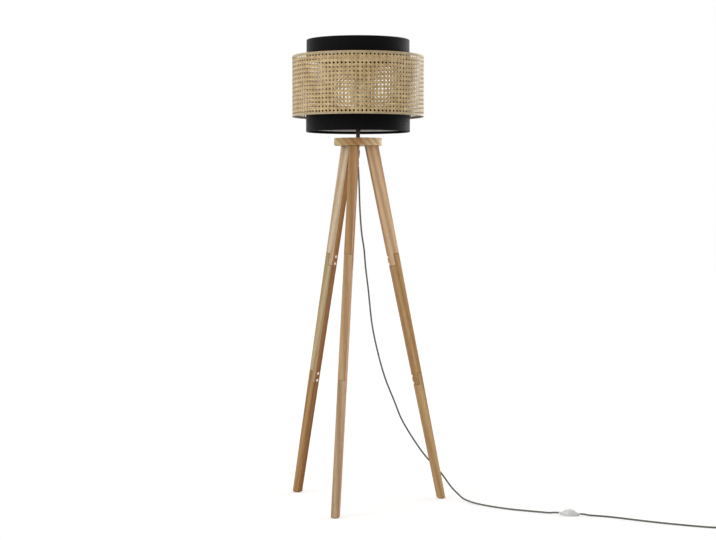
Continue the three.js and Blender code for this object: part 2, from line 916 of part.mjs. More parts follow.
// Foot switch, lying along its own X axis
const switchGroup = new THREE.Group();
switchGroup.position.set(...switchCentre, 0);
switchGroup.rotation.z = (switchTurn / 360) * turn;
lamp.add(switchGroup);
const outlineSides = 28;

// Level outlines of a pointed oval, joined from the lowest to the highest and closed by caps.
function loft(levels) {
  const places = [];
  const faces = [];
  levels.forEach(([halfLength, halfWidth, roundness, height]) => {
    for (let i = 0; i < outlineSides; i++) {
      const angle = (i * turn) / outlineSides;
      const across = Math.sign(Math.sin(angle)) * Math.abs(Math.sin(angle)) ** roundness;
      places.push(halfLength * Math.cos(angle), halfWidth * across, height);
    }
  });
  const last = (levels.length - 1) * outlineSides;
  for (let level = 0; level < levels.length - 1; level++) {
    for (let i = 0; i < outlineSides; i++) {
      const a = level * outlineSides + i;
      const b = level * outlineSides + ((i + 1) % outlineSides);
      faces.push(a, b, b + outlineSides, a, b + outlineSides, a + outlineSides);
    }
  }
  for (let i = 1; i < outlineSides - 1; i++) {
    faces.push(0, i + 1, i);
    faces.push(last, last + i, last + i + 1);
  }
  const geometry = new THREE.BufferGeometry();
  geometry.setAttribute("position", new THREE.Float32BufferAttribute(places, 3));
  geometry.setIndex(faces);
  return geometry;
}

const pointedRoundness = 1.5;
const halfLength = switchLength / 2;
const halfWidth = switchWidth / 2;
const collarRadius = switchCollarDiameter / 2;
const coverBottom = switchBaseThickness + seatGap;
const buttonRadius = switchButtonDiameter / 2;
const buttonBottom = switchButtonTop - switchButtonSkirt - 2 * switchWall;
const wellFloor = buttonBottom - switchButtonTravel - 2 * seatGap;

addPiece(
  "switch_base",
  loft([
    [halfLength - switchWall, halfWidth - switchWall, pointedRoundness, 0],
    [halfLength, halfWidth, pointedRoundness, switchWall],
    [halfLength, halfWidth, pointedRoundness, switchBaseThickness],
  ]),
  clearPlastic,
  switchGroup,
);

const bootTip = halfLength + switchBootLength / 2;
const bootBars = [-1, 1].map((side) =>
  bar(
    [side * (bootTip - switchBootLength), 0, switchCordHeight],
    [side * bootTip, 0, switchCordHeight],
    switchBootDiameter / 2,
    12,
  ),
);
const coverCutter = loft([
  [2 * halfLength, 2 * halfWidth, 1, -switchCoverHeight],
  [2 * halfLength, 2 * halfWidth, 1, coverBottom],
]);
const coreRadius = switchCoreDiameter / 2;
const coverHollow = turned(
  [
    [0, coverBottom - cutOverrun],
    [coreRadius + seatGap, coverBottom - cutOverrun],
    [coreRadius + seatGap, wellFloor],
    [buttonRadius + seatGap, wellFloor],
    [buttonRadius + seatGap, switchCollarHeight + cutOverrun],
    [0, switchCollarHeight + cutOverrun],
  ],
  28,
);
const coverShell = joined([
  loft([
    [halfLength, halfWidth, pointedRoundness, coverBottom],
    [halfLength - switchWall, halfWidth - switchWall / 2, pointedRoundness, coverBottom + switchWall],
    [(halfLength + collarRadius) / 2, (halfWidth + collarRadius) / 2, 1.2, switchCoverHeight],
    [collarRadius + switchWall / 2, collarRadius + switchWall / 2, 1, switchCollarHeight - switchWall],
    [collarRadius, collarRadius, 1, switchCollarHeight],
  ]),
  ...bootBars,
]);
addPiece("switch_cover", cut(coverShell, [coverCutter, coverHollow]), clearPlastic, switchGroup);
addPiece(
  "switch_button",
  turned(
    [
      [0, buttonBottom],
      [buttonRadius, buttonBottom],
      [buttonRadius, switchCollarHeight + switchWall],
      [buttonRadius - switchWall, switchButtonTop - switchWall],
      [buttonRadius / 2, switchButtonTop - switchWall / 4],
      [0, switchButtonTop],
    ],
    24,
  ),
  whitePlastic,
  switchGroup,
);
addPiece(
  "switch_core",
  turned(
    [
      [0, switchBaseThickness + seatGap],
      [coreRadius, switchBaseThickness + seatGap],
      [coreRadius, wellFloor],
      [coreRadius / 2, wellFloor],
      [0, wellFloor],
    ],
    16,
  ),
  whitePlastic,
  switchGroup,
);

// Free cord
function curveThrough(points) {
  const places = points.map((point) => new THREE.Vector3(...point));
  return new THREE.CatmullRomCurve3(places, false, "centripetal");
}

function switchEnd(side, out) {
  const angle = (switchTurn / 360) * turn;
  const reach = side * (bootTip + out);
  return [
    switchCentre[0] + reach * Math.cos(angle),
    switchCentre[1] + reach * Math.sin(angle),
    switchCordHeight,
  ];
}
const cordStart = gripEndHeight - seatGap;
const dropCurve = curveThrough([
  [0, 0, cordStart],
  ...cordDropRoute.filter((point) => point[2] < cordStart - cordDiameter),
  switchEnd(-1, 2 * cordDiameter),
  switchEnd(-1, seatGap),
]);
addPiece("cord_drop", tube(dropCurve, cordRadius, cordSides, cordDropSteps), cordCloth);

// Coil: the cord spirals in on the floor, climbs a layer in the half turn where it turns round,
// and spirals out again on top. It comes in along +X and leaves along +Y.
const coilSweep = coilTurns * turn;
const coilMiddle = coilSweep / 2;
const coilStart = -turn / 4;
const coilLift = tieThickness + seatGap;

function coilRadiusAt(swept) {
  return coilOuterRadius - (coilPitch * (coilMiddle - Math.abs(swept - coilMiddle))) / turn;
}

function coilPoint(swept) {
  const radius = coilRadiusAt(swept);
  const climb = THREE.MathUtils.smoothstep(swept, coilMiddle - turn / 4, coilMiddle + turn / 4);
  return new THREE.Vector3(
    coilCentre[0] + radius * Math.cos(coilStart + swept),
    coilCentre[1] + radius * Math.sin(coilStart + swept),
    coilLift + cordRadius + climb * coilPitch,
  );
}
const coilSteps = Math.round(coilTurns * coilStepsPerTurn);
const coilPoints = [];
for (let step = 0; step <= coilSteps; step++) {
  coilPoints.push(coilPoint((step * coilSweep) / coilSteps));
}
const plugCordHeight = plugThickness / 2;
const coilEnd = coilPoints[coilSteps];
const coilMouth = coilPoints[0];
const leadIn = [2, 1].map((count) =>
  new THREE.Vector3(coilMouth.x - count * cordDiameter, coilMouth.y, coilMouth.z),
);
const tailDrop = coilEnd.z - plugCordHeight;
const leadOut = [coilTailLevelShare, 0.65, 1].map((share) => {
  const eased = THREE.MathUtils.smoothstep(share, coilTailLevelShare, 1);
  return new THREE.Vector3(coilEnd.x, coilEnd.y + share * coilTailLength, coilEnd.z - eased * tailDrop);
});
const tailTip = leadOut[leadOut.length - 1].clone();
tailTip.y += cordDiameter;
const coilWay = [...leadIn, ...coilPoints, ...leadOut, tailTip];

// One unbroken tube through a list of places, closed by a cap at each end.
function tubeThrough(places, radius, sides) {
  const vertices = [];
  const faces = [];
  places.forEach((place, i) => {
    const before = places[Math.max(i - 1, 0)];
    const after = places[Math.min(i + 1, places.length - 1)];
    const way = after.clone().sub(before).normalize();
    const side = new THREE.Vector3(way.y, -way.x, 0).normalize();
    const up = way.clone().cross(side).normalize();
    for (let k = 0; k < sides; k++) {
      const angle = ((k + 1 / 2) * turn) / sides;
      const vertex = place
        .clone()
        .addScaledVector(side, radius * Math.cos(angle))
        .addScaledVector(up, radius * Math.sin(angle));
      vertices.push(vertex.x, vertex.y, vertex.z);
    }
  });
  for (let i = 0; i < places.length - 1; i++) {
    for (let k = 0; k < sides; k++) {
      const a = i * sides + k;
      const b = i * sides + ((k + 1) % sides);
      faces.push(a, b, a + sides, b, b + sides, a + sides);
    }
  }
  const last = (places.length - 1) * sides;
  for (let k = 1; k < sides - 1; k++) {
    faces.push(0, k + 1, k);
    faces.push(last, last + k, last + k + 1);
  }
  const geometry = new THREE.BufferGeometry();
  geometry.setAttribute("position", new THREE.Float32BufferAttribute(vertices, 3));
  geometry.setIndex(faces);
  return geometry;
}
addPiece("cord_coil", tubeThrough(coilWay, cordRadius, coilSides), cordCloth);

function leastSelfGap(places, closeBy) {
  let least = Infinity;
  for (let i = 0; i < places.length; i++) {
    for (let j = i + closeBy; j < places.length; j++) {
      least = Math.min(least, places[i].distanceTo(places[j]));
    }
  }
  return least - cordDiameter;
}
const coilGap = leastSelfGap(coilWay, coilStepsPerTurn / 2);
console.log(`coil: least gap to itself ${coilGap.toFixed(2)} mm`);

const runCurve = curveThrough([
  switchEnd(1, seatGap),
  switchEnd(1, 2 * cordDiameter),
  ...cordRunRoute,
  [coilMouth.x - 4 * cordDiameter, coilMouth.y, coilMouth.z],
  [coilMouth.x - 2 * cordDiameter - seatGap, coilMouth.y, coilMouth.z],
]);
addPiece("cord_run", tube(runCurve, cordRadius, cordSides, cordRunSteps), cordCloth);
const coilLength = new THREE.CatmullRomCurve3(coilWay).getLength();
const cordLength = dropCurve.getLength() + runCurve.getLength() + coilLength;
console.log(`cord: ${dropCurve.getLength().toFixed(0)} mm to the switch,`,
  `${runCurve.getLength().toFixed(0)} mm to the coil, ${coilLength.toFixed(0)} mm in the coil,`,
  `${cordLength.toFixed(0)} mm in all`);

// Tie round the coil's bundle, where every loop lies level
const tieSwept = (tieAngle / 360) * turn - coilStart;
const tieLeft = coilRadiusAt(tieSwept + turn) - cordRadius - seatGap - tieSlack;
const tieRight = coilRadiusAt(tieSwept) + cordRadius + seatGap + tieSlack;
const tieTop = coilLift + coilPitch + 2 * cordRadius + seatGap;

function tieOutline(left, right, bottom, top, corner) {
  return [
    [left + corner, bottom],
    [right - corner, bottom],
    [right, bottom + corner],
    [right, top - corner],
    [right - corner, top],
    [left + corner, top],
    [left, top - corner],
    [left, bottom + corner],
  ].map(([along, up]) => new THREE.Vector2(along, up));
}
const tieShape = new THREE.Shape(
  tieOutline(tieLeft - tieThickness, tieRight + tieThickness, 0, tieTop + tieThickness, tieThickness),
);
tieShape.holes.push(
  new THREE.Path(tieOutline(tieLeft, tieRight, tieThickness, tieTop, tieThickness / 2)),
);
const tieBody = new THREE.ExtrudeGeometry(tieShape, { depth: tieWidth, bevelEnabled: false });
tieBody.translate(0, 0, -tieWidth / 2).rotateX(turn / 4);
tieBody.rotateZ((tieAngle / 360) * turn);
addPiece("coil_tie", tieBody, felt).position.set(...coilCentre, 0);

// Plug
const plugGroup = new THREE.Group();
plugGroup.position.set(tailTip.x, tailTip.y + seatGap, plugCordHeight);
lamp.add(plugGroup);
const reliefTaper = turned(
  [
    [0, 0],
    [plugReliefDiameter / 2, 0],
    [plugThickness / 2 - plugEdgeEase, plugReliefLength + plugEdgeEase],
    [0, plugReliefLength + plugEdgeEase],
  ],
  12,
).rotateX(-turn / 4);
const plugHalf = plugWidth / 2;
const plugWaistShare = 0.55;
const plugOutline = new THREE.Shape([
  new THREE.Vector2(-plugHalf * plugWaistShare, plugReliefLength),
  new THREE.Vector2(plugHalf * plugWaistShare, plugReliefLength),
  new THREE.Vector2(plugHalf, plugReliefLength + plugBodyLength / 2),
  new THREE.Vector2(plugHalf, plugReliefLength + plugBodyLength),
  new THREE.Vector2(-plugHalf, plugReliefLength + plugBodyLength),
  new THREE.Vector2(-plugHalf, plugReliefLength + plugBodyLength / 2),
]);
const plugSlab = new THREE.ExtrudeGeometry(plugOutline, {
  depth: plugThickness - 2 * plugEdgeEase,
  bevelEnabled: true,
  bevelSegments: 1,
  bevelSize: plugEdgeEase,
  bevelThickness: plugEdgeEase,
  bevelOffset: -plugEdgeEase,
}).translate(0, 0, plugEdgeEase - plugThickness / 2);
addPiece("plug_body", joined([plugSlab, reliefTaper]), whitePlastic, plugGroup);
const plugFace = plugReliefLength + plugBodyLength;
[-1, 1].forEach((side, index) => {
  const pinRadius = plugPinDiameter / 2;
  const pin = turned(
    [
      [0, 0],
      [pinRadius, 0],
      [pinRadius, plugPinLength - pinRadius],
      [pinRadius / 2, plugPinLength],
      [0, plugPinLength],
    ],
    10,
  ).rotateX(-turn / 4);
  const piece = addPiece(`plug_pin_${index + 1}`, pin, brass, plugGroup);
  piece.position.set((side * plugPinSpacing) / 2, plugFace + seatGap, 0);
});

export default lamp;
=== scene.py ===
import math

import bmesh
import bpy
from mathutils import Matrix, Vector


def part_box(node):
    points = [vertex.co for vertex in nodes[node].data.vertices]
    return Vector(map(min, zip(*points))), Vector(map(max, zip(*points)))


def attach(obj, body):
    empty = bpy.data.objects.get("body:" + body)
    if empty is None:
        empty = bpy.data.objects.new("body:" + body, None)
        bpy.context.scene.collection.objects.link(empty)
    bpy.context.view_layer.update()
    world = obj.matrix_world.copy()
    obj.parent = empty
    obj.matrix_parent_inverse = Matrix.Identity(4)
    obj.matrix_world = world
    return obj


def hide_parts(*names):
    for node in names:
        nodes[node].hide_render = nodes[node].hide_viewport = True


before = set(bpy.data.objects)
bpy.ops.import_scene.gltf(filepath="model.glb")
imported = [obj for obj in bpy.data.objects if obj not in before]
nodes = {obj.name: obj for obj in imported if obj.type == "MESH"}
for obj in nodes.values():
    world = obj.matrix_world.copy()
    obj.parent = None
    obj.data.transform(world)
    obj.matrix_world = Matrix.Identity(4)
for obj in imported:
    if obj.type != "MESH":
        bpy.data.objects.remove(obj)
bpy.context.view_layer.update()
hubLow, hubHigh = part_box("hub_disc")
axisY = (hubLow.y + hubHigh.y) / 2  # the lamp's own axis stands at x = 0 and this y
mm = 0.001
mergeReach = 0.002 * mm  # vertices nearer to each other than this are merged
flatAngle = math.radians(0.5)  # neighbouring faces that differ by less than this are joined


def linear(hexColor):
    value = int(hexColor.lstrip("#"), 16)
    channels = [((value >> shift) & 255) / 255 for shift in (16, 8, 0)]
    return [c / 12.92 if c <= 0.04045 else ((c + 0.055) / 1.055) ** 2.4 for c in channels] + [1.0]


def addNode(tree, kind, inputs=None, stops=None, **settings):
    node = tree.nodes.new(kind)
    for name, value in settings.items():
        setattr(node, name, value)
    for name, value in (inputs or {}).items():
        if isinstance(value, bpy.types.NodeSocket):
            tree.links.new(value, node.inputs[name])
        else:
            node.inputs[name].default_value = value
    if stops:
        ramp = node.color_ramp
        while len(ramp.elements) < len(stops):
            ramp.elements.new(0.5)
        for element, (place, color) in zip(ramp.elements, stops):
            element.position = place
            element.color = linear(color) if isinstance(color, str) else (color, color, color, 1)
    return node


def newMaterial(name, look):
    material = bpy.data.materials.new(name)
    material.use_nodes = True
    tree = material.node_tree
    shader = tree.nodes["Principled BSDF"]
    for socket, value in look.items():
        shader.inputs[socket].default_value = linear(value) if isinstance(value, str) else value
    return material, tree, shader


def grained(name, look, scale, detail=2.0, tones=None, roughness=None, bump=None):
    # one fine noise over the whole piece sets its colour, its roughness or its relief
    material, tree, shader = newMaterial(name, look)
    place = addNode(tree, "ShaderNodeTexCoord")
    grain = addNode(tree, "ShaderNodeTexNoise", {"Vector": place.outputs["Object"], "Scale": scale,
                    "Detail": detail}).outputs["Fac"]
    if tones:
        tone = addNode(tree, "ShaderNodeValToRGB", {"Fac": grain}, stops=list(zip((0.3, 0.7), tones)))
        tree.links.new(tone.outputs["Color"], shader.inputs["Base Color"])
    if roughness:
        least, most = roughness
        span = addNode(tree, "ShaderNodeMapRange", {"Value": grain, "To Min": least, "To Max": most})
        tree.links.new(span.outputs["Result"], shader.inputs["Roughness"])
    if bump:
        strength, depth = bump
        relief = addNode(tree, "ShaderNodeBump", {"Height": grain, "Strength": strength, "Distance": depth})
        tree.links.new(relief.outputs["Normal"], shader.inputs["Normal"])
    return material


def finishPiece(bm, name, material, sharpDegrees=35, smooth=True):
    mesh = bpy.data.meshes.new(name)
    bm.to_mesh(mesh)
    bm.free()
    if smooth:
        mesh.shade_smooth()
        mesh.set_sharp_from_angle(angle=math.radians(sharpDegrees))
    mesh.materials.append(material)
    piece = bpy.data.objects.new(name, mesh)
    bpy.context.scene.collection.objects.link(piece)
    return piece


def standFor(piece, slot, *cadNodes, body="lamp"):
    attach(piece, body)
    if cadNodes:
        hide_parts(*cadNodes)
    return piece


def dress(material, *cadNodes):
    for cadNode in cadNodes:
        nodes[cadNode].material_slots[0].material = material


def cadMesh(cadNode):
    # the solid's own mesh, its doubled vertices merged and its flat faces joined
    bm = bmesh.new()
    bm.from_mesh(nodes[cadNode].data)
    bmesh.ops.remove_doubles(bm, verts=bm.verts, dist=mergeReach)
    bmesh.ops.dissolve_limit(bm, angle_limit=flatAngle, verts=bm.verts, edges=bm.edges)
    return bm


def softened(cadNode, name, material, slot):
    return standFor(finishPiece(cadMesh(cadNode), name, material), slot, cadNode)


def spunBody(bm, profile, steps, closed=False):
    rim = [bm.verts.new((radius, axisY, height)) for radius, height in profile]
    edges = [bm.edges.new(pair) for pair in zip(rim, rim[1:])]
    if closed:
        edges.append(bm.edges.new((rim[-1], rim[0])))
    bmesh.ops.spin(bm, geom=rim + edges, cent=(0, axisY, 0), axis=(0, 0, 1), angle=2 * math.pi,
                   steps=steps, use_merge=True)
    bmesh.ops.remove_doubles(bm, verts=bm.verts, dist=mergeReach)
    bmesh.ops.recalc_face_normals(bm, faces=bm.faces)


def wrapUv(bm, radius):
    # u runs round the lamp's axis and v up it, both in metres of cloth
    layer = bm.loops.layers.uv.new("wrap")
    for face in bm.faces:
        middle = face.calc_center_median()
        faceAngle = math.atan2(middle.y - axisY, middle.x)
        for loop in face.loops:
            angle = math.atan2(loop.vert.co.y - axisY, loop.vert.co.x)
            turns = round((faceAngle - angle) / (2 * math.pi))
            loop[layer].uv = ((angle + turns * 2 * math.pi) * radius, loop.vert.co.z)


def arc(centre, radius, fromDegrees, toDegrees, steps):
    sweep = toDegrees - fromDegrees
    angles = [math.radians(fromDegrees + sweep * i / steps) for i in range(steps + 1)]
    return [(centre[0] + radius * math.cos(a), centre[1] + radius * math.sin(a)) for a in angles]


def wayAt(path, i):
    return (path[min(i + 1, len(path) - 1)] - path[max(i - 1, 0)]).normalized()


def frameAt(point, across, up, way):
    return Matrix.Translation(point) @ Matrix((across, up, way)).transposed().to_4x4()


def stations(path, hint=Vector((0, 0, 1))):
    # one upright frame for each point of a path: x across, y along the hint, z forwards
    frames = []
    for i, point in enumerate(path):
        way = wayAt(path, i)
        across = hint.cross(way)
        if across.length < 0.05:  # the path runs along the hint here
            across = frames[-1].col[0].to_3d() if frames else Vector((1, 0, 0))
        across = (across - way * across.dot(way)).normalized()
        frames.append(frameAt(point, across, way.cross(across), way))
    return frames


def sweep(bm, frames, section):
    # a section face is drawn at the first station and extruded from each station to the next
    face = bm.faces.new([bm.verts.new(frames[0] @ Vector((x, y, 0))) for x, y in section])
    start = face
    for before, after in zip(frames, frames[1:]):
        grown = bmesh.ops.extrude_face_region(bm, geom=[face])["geom"]
        verts = [g for g in grown if isinstance(g, bmesh.types.BMVert)]
        bmesh.ops.transform(bm, matrix=after @ before.inverted(), verts=verts)
        nextFace = [g for g in grown if isinstance(g, bmesh.types.BMFace)][0]
        if face is not start:
            bm.faces.remove(face)
        face = nextFace
    return start


def roundSection(radius, sides):
    return [(radius * math.cos(2 * math.pi * i / sides), radius * math.sin(2 * math.pi * i / sides))
            for i in range(sides)]


def lookFrom(azimuthDegrees, elevationDegrees):
    # the way from the lamp to the viewer: azimuth 0 is the front, and more of it goes round to the right
    azimuth, elevation = math.radians(azimuthDegrees), math.radians(elevationDegrees)
    return Vector((math.sin(azimuth) * math.cos(elevation), -math.cos(azimuth) * math.cos(elevation),
                   math.sin(elevation)))


camera = {"azimuth": 14.21, "elevation": 2.204, "distance": 5.8517, "targetHeight": 0.8082, "lens": 85.07,
          "sensor": 36, "clipEnd": 60}
towards = lookFrom(camera["azimuth"], camera["elevation"])
cameraData = bpy.data.cameras.new("photoCamera")
cameraData.lens = camera["lens"]
cameraData.sensor_width = camera["sensor"]
cameraData.sensor_fit = "HORIZONTAL"
cameraData.clip_end = camera["clipEnd"]
photoCamera = bpy.data.objects.new("photoCamera", cameraData)
photoCamera.location = Vector((0, axisY, camera["targetHeight"])) + towards * camera["distance"]
photoCamera.rotation_euler = towards.to_track_quat("Z", "Y").to_euler()
bpy.context.scene.collection.objects.link(photoCamera)
bpy.context.scene.camera = photoCamera
print("camera placed")

# Textile cord: braided polyester over PVC. Fine dull threads that cross at a steep angle.
clothCord, tree, shader = newMaterial("braidedTextileCord", {"Roughness": 0.85, "Sheen Weight": 0.25})
braidUv = addNode(tree, "ShaderNodeUVMap", uv_map="braid")
braids = []
for lean in (1, -1):
    turned = addNode(tree, "ShaderNodeMapping", {"Vector": braidUv.outputs["UV"],
                     "Rotation": (0, 0, math.radians(38 * lean))})
    braids.append(addNode(tree, "ShaderNodeTexWave", {"Vector": turned.outputs["Vector"], "Scale": 2.6,
                          "Distortion": 0.4, "Detail": 1.0}, bands_direction="X"))
braid = addNode(tree, "ShaderNodeMath", {0: braids[0].outputs["Fac"], 1: braids[1].outputs["Fac"]},
                operation="MULTIPLY")
speckle = addNode(tree, "ShaderNodeTexNoise", {"Vector": braidUv.outputs["UV"], "Scale": 9.0, "Detail": 2.0})
cordTone = addNode(tree, "ShaderNodeMath", {0: braid.outputs[0], 1: speckle.outputs["Fac"]}, operation="ADD")
cordColor = addNode(tree, "ShaderNodeValToRGB", {"Fac": cordTone.outputs[0]},
                    stops=[(0.35, "#393b37"), (0.8, "#585a54"), (1.2, "#6b6d66")])
cordBump = addNode(tree, "ShaderNodeBump", {"Height": braid.outputs[0], "Strength": 0.6,
                   "Distance": 0.4 * mm})
tree.links.new(cordColor.outputs["Color"], shader.inputs["Base Color"])
tree.links.new(cordBump.outputs["Normal"], shader.inputs["Normal"])


def at(x, y, z):
    return Vector((x, y + axisY, z))


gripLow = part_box("cord_grip")[0]
cord = {
    "diameter": 6 * mm,
    "sides": 12,
    "step": 6 * mm,
    "entry": 0.3 * mm,  # the cord starts this far outside the piece that it goes into
    "straight": 12 * mm,  # and runs straight as far as this
    "drop": [  # points above the floor, measured from the lamp's axis
        (0.0008, 0.001, 1.165), (0.003, 0.004, 1.102), (0.005, 0.008, 1.014), (0.01, 0.013, 0.934),
        (0.017, 0.018, 0.88), (0.021, 0.024, 0.818), (0.028, 0.033, 0.743), (0.039, 0.048, 0.613),
        (0.054, 0.07, 0.517), (0.073, 0.095, 0.429), (0.103, 0.12, 0.339), (0.124, 0.136, 0.278),
        (0.164, 0.155, 0.204), (0.2035, 0.164, 0.147), (0.236, 0.165, 0.113), (0.264, 0.161, 0.085),
        (0.3, 0.146, 0.044), (0.33, 0.126, 0.0215), (0.352, 0.106, 0.01), (0.376, 0.088, 0.005),
        (0.404, 0.063, 0.0032), (0.429, 0.0425, 0.0032), (0.4725, 0.013, 0.0032),
        (0.543, -0.021, 0.0032), (0.607, -0.038, 0.0032), (0.646, -0.047, 0.0032),
        (0.674, -0.059, 0.0044),
    ],
    "run": [
        (0.81, -0.072, 0.0044), (0.836, -0.07, 0.0032), (0.876, -0.078, 0.0032),
        (0.907, -0.0885, 0.0032), (0.938, -0.101, 0.0032), (0.985, -0.12, 0.0032),
        (1.04, -0.14, 0.0032), (1.1, -0.158, 0.0032), (1.16, -0.173, 0.0032), (1.215, -0.1825, 0.0032),
    ],
    "coilCentre": (1.278, -0.145),
    "coilRadius": 40 * mm,
    "coilPitch": 6.6 * mm,
    "coilTurns": 4.25,
    "coilLift": 1.1 * mm,
    "coilSteps": 48,  # in each turn
    "leadIn": (24 * mm, 12 * mm, 6 * mm),  # points this far before the coil's mouth
    "tail": 26 * mm,
    "tailSteps": 8,
    "tailRest": 0.3,  # the share of the tail that is level before it comes down to the plug
    "plugHeight": 6.85 * mm,
    "switchCentre": (0.744, -0.07),
    "switchReach": 36.5 * mm,
    "switchTurn": -5,
    "switchHeight": 7.2 * mm,
}


def smoothPath(points, step):
    # a centripetal spline through the points, as in the CAD
    placed = [points[0] * 2 - points[1]] + points + [points[-1] * 2 - points[-2]]
    path = [points[0]]
    for a, b, c, d in zip(placed, placed[1:], placed[2:], placed[3:]):
        spans = [max((q - p).length ** 0.5, 1e-4) for p, q in ((a, b), (b, c), (c, d))]
        leave = ((b - a) / spans[0] - (c - a) / (spans[0] + spans[1]) + (c - b) / spans[1]) * spans[1]
        arrive = ((c - b) / spans[1] - (d - b) / (spans[1] + spans[2]) + (d - c) / spans[2]) * spans[1]
        count = max(1, round((c - b).length / step))
        for i in range(1, count + 1):
            t = i / count
            path.append(b * (2 * t**3 - 3 * t**2 + 1) + leave * (t**3 - 2 * t**2 + t)
                        + c * (3 * t**2 - 2 * t**3) + arrive * (t**3 - t**2))
    return path


def pathLength(path):
    return sum((b - a).length for a, b in zip(path, path[1:]))


def switchEnd(side, out):
    angle = math.radians(cord["switchTurn"])
    reach = side * (cord["switchReach"] + out)
    return at(cord["switchCentre"][0] + reach * math.cos(angle),
              cord["switchCentre"][1] + reach * math.sin(angle), cord["switchHeight"])


def cordTube(name, path, slot, *cadNodes):
    bm = bmesh.new()
    frames = stations(path)
    sweep(bm, frames, roundSection(cord["diameter"] / 2, cord["sides"]))
    bmesh.ops.recalc_face_normals(bm, faces=bm.faces)
    # the braid's own map: u round the cord, v along it, in cord diameters
    layer = bm.loops.layers.uv.new("braid")
    bm.verts.ensure_lookup_table()
    along = [0.0]
    for a, b in zip(path, path[1:]):
        along.append(along[-1] + (b - a).length)
    for face in bm.faces:
        places = [divmod(loop.vert.index, cord["sides"]) for loop in face.loops]
        wraps = max(side for _, side in places) - min(side for _, side in places) > 1
        for loop, (ring, side) in zip(face.loops, places):
            around = side + (cord["sides"] if wraps and side == 0 else 0)
            loop[layer].uv = (around / cord["sides"] * math.pi,
                              along[min(ring, len(along) - 1)] / cord["diameter"])
    return standFor(finishPiece(bm, name, clothCord, sharpDegrees=60), slot, *cadNodes)


gripEnd = Vector((0, axisY, gripLow.z - cord["entry"]))
dropPoints = [gripEnd] + [at(*p) for p in cord["drop"]]
dropPoints += [switchEnd(-1, cord["straight"]), switchEnd(-1, cord["entry"])]
dropPath = smoothPath(dropPoints, cord["step"])
coilSweep = cord["coilTurns"] * 2 * math.pi


def easedShare(share):
    share = min(max(share, 0), 1)
    return share * share * (3 - 2 * share)


def coilPoint(swept):
    # the cord winds inwards for half of the coil, climbs one pitch and winds outwards again
    half = coilSweep / 2
    radius = cord["coilRadius"] - cord["coilPitch"] * (half - abs(swept - half)) / (2 * math.pi)
    climb = easedShare((swept - half) / math.pi + 0.5)
    angle = swept - math.pi / 2
    return at(cord["coilCentre"][0] + radius * math.cos(angle),
              cord["coilCentre"][1] + radius * math.sin(angle),
              cord["coilLift"] + cord["diameter"] / 2 + climb * cord["coilPitch"])


coilCount = round(cord["coilTurns"] * cord["coilSteps"])
coilPath = [coilPoint(coilSweep * i / coilCount) for i in range(coilCount + 1)]
mouth, coilEnd = coilPath[0], coilPath[-1]
fallTo = cord["plugHeight"] - coilEnd.z
tailPath = []
for i in range(1, cord["tailSteps"] + 1):
    share = i / cord["tailSteps"]
    fall = fallTo * easedShare((share - cord["tailRest"]) / (1 - cord["tailRest"]))
    tailPath.append(coilEnd + Vector((0, share * cord["tail"], fall)))
tailPath.append(tailPath[-1] + Vector((0, cord["diameter"], 0)))
runPoints = [switchEnd(1, cord["entry"]), switchEnd(1, cord["straight"])] + [at(*p) for p in cord["run"]]
runPoints += [mouth - Vector((back, 0, 0)) for back in cord["leadIn"]] + [mouth]
runPath = smoothPath(runPoints, cord["step"]) + coilPath[1:] + tailPath

dropCord = cordTube("dropCord", dropPath, "cord_cloth", "cord_drop")
runCord = cordTube("runCord", runPath, "cord_cloth", "cord_run", "cord_coil")
print("cords laid", round(pathLength(dropPath), 3), round(pathLength(runPath), 3))

# Oak, planed and matt varnished: long straight fibres, faint growth bands, short dark pores. The faces
# sawn flat through the rings are browner or greyer than the quarter-sawn ones beside them. Both tones of
# each section also carry painted light and shade for how light falls on that section and face: the side
# legs' inner faces, sawn flat, are painted darker as painted shade.
oak = {
    "grainLight": "#ffffff",
    "grainDark": "#bba68e",
    "pore": "#8a6f55",
    "grain": (9 * mm, 9 * mm, 260 * mm),  # a growth band's width, and how far it runs
    "boardStep": (0.31, 0.17, 0.23),  # each section's grain is taken this much further along the wood
    "lean": 0.2042,  # of the legs, in radians
    # one tone for each section: the first leg's lower, middle and upper one, then the others'
    "quarterSawn": ["#b68d5f", "#bb9061", "#b88c5c", "#c4a474", "#c09c6b", "#e2c29c", "#a78351", "#b5a37e",
                    "#c9b79c"],
    # the flat-sawn tones are partly painted shade on the faces that look away from the light
    "flatSawnShaded": ["#b49b7c", "#ba9c75", "#a98557", "#ab875c", "#a27b51", "#ad8458", "#9a6d3d", "#a07143",
                 "#b5844d"],
    "footRadius": 304.8 * mm,
    "lapMiddles": (435.05 * mm, 861.12 * mm),  # up the leg from its foot
    "lapReach": 21 * mm,
    "seamReach": 8 * mm,  # a lap's seams on the outer and inner faces lie further from its middle than this
    "splitReach": 4 * mm,  # and the split between its tongues lies nearer than this
    "seamEase": 0.5 * mm,
}


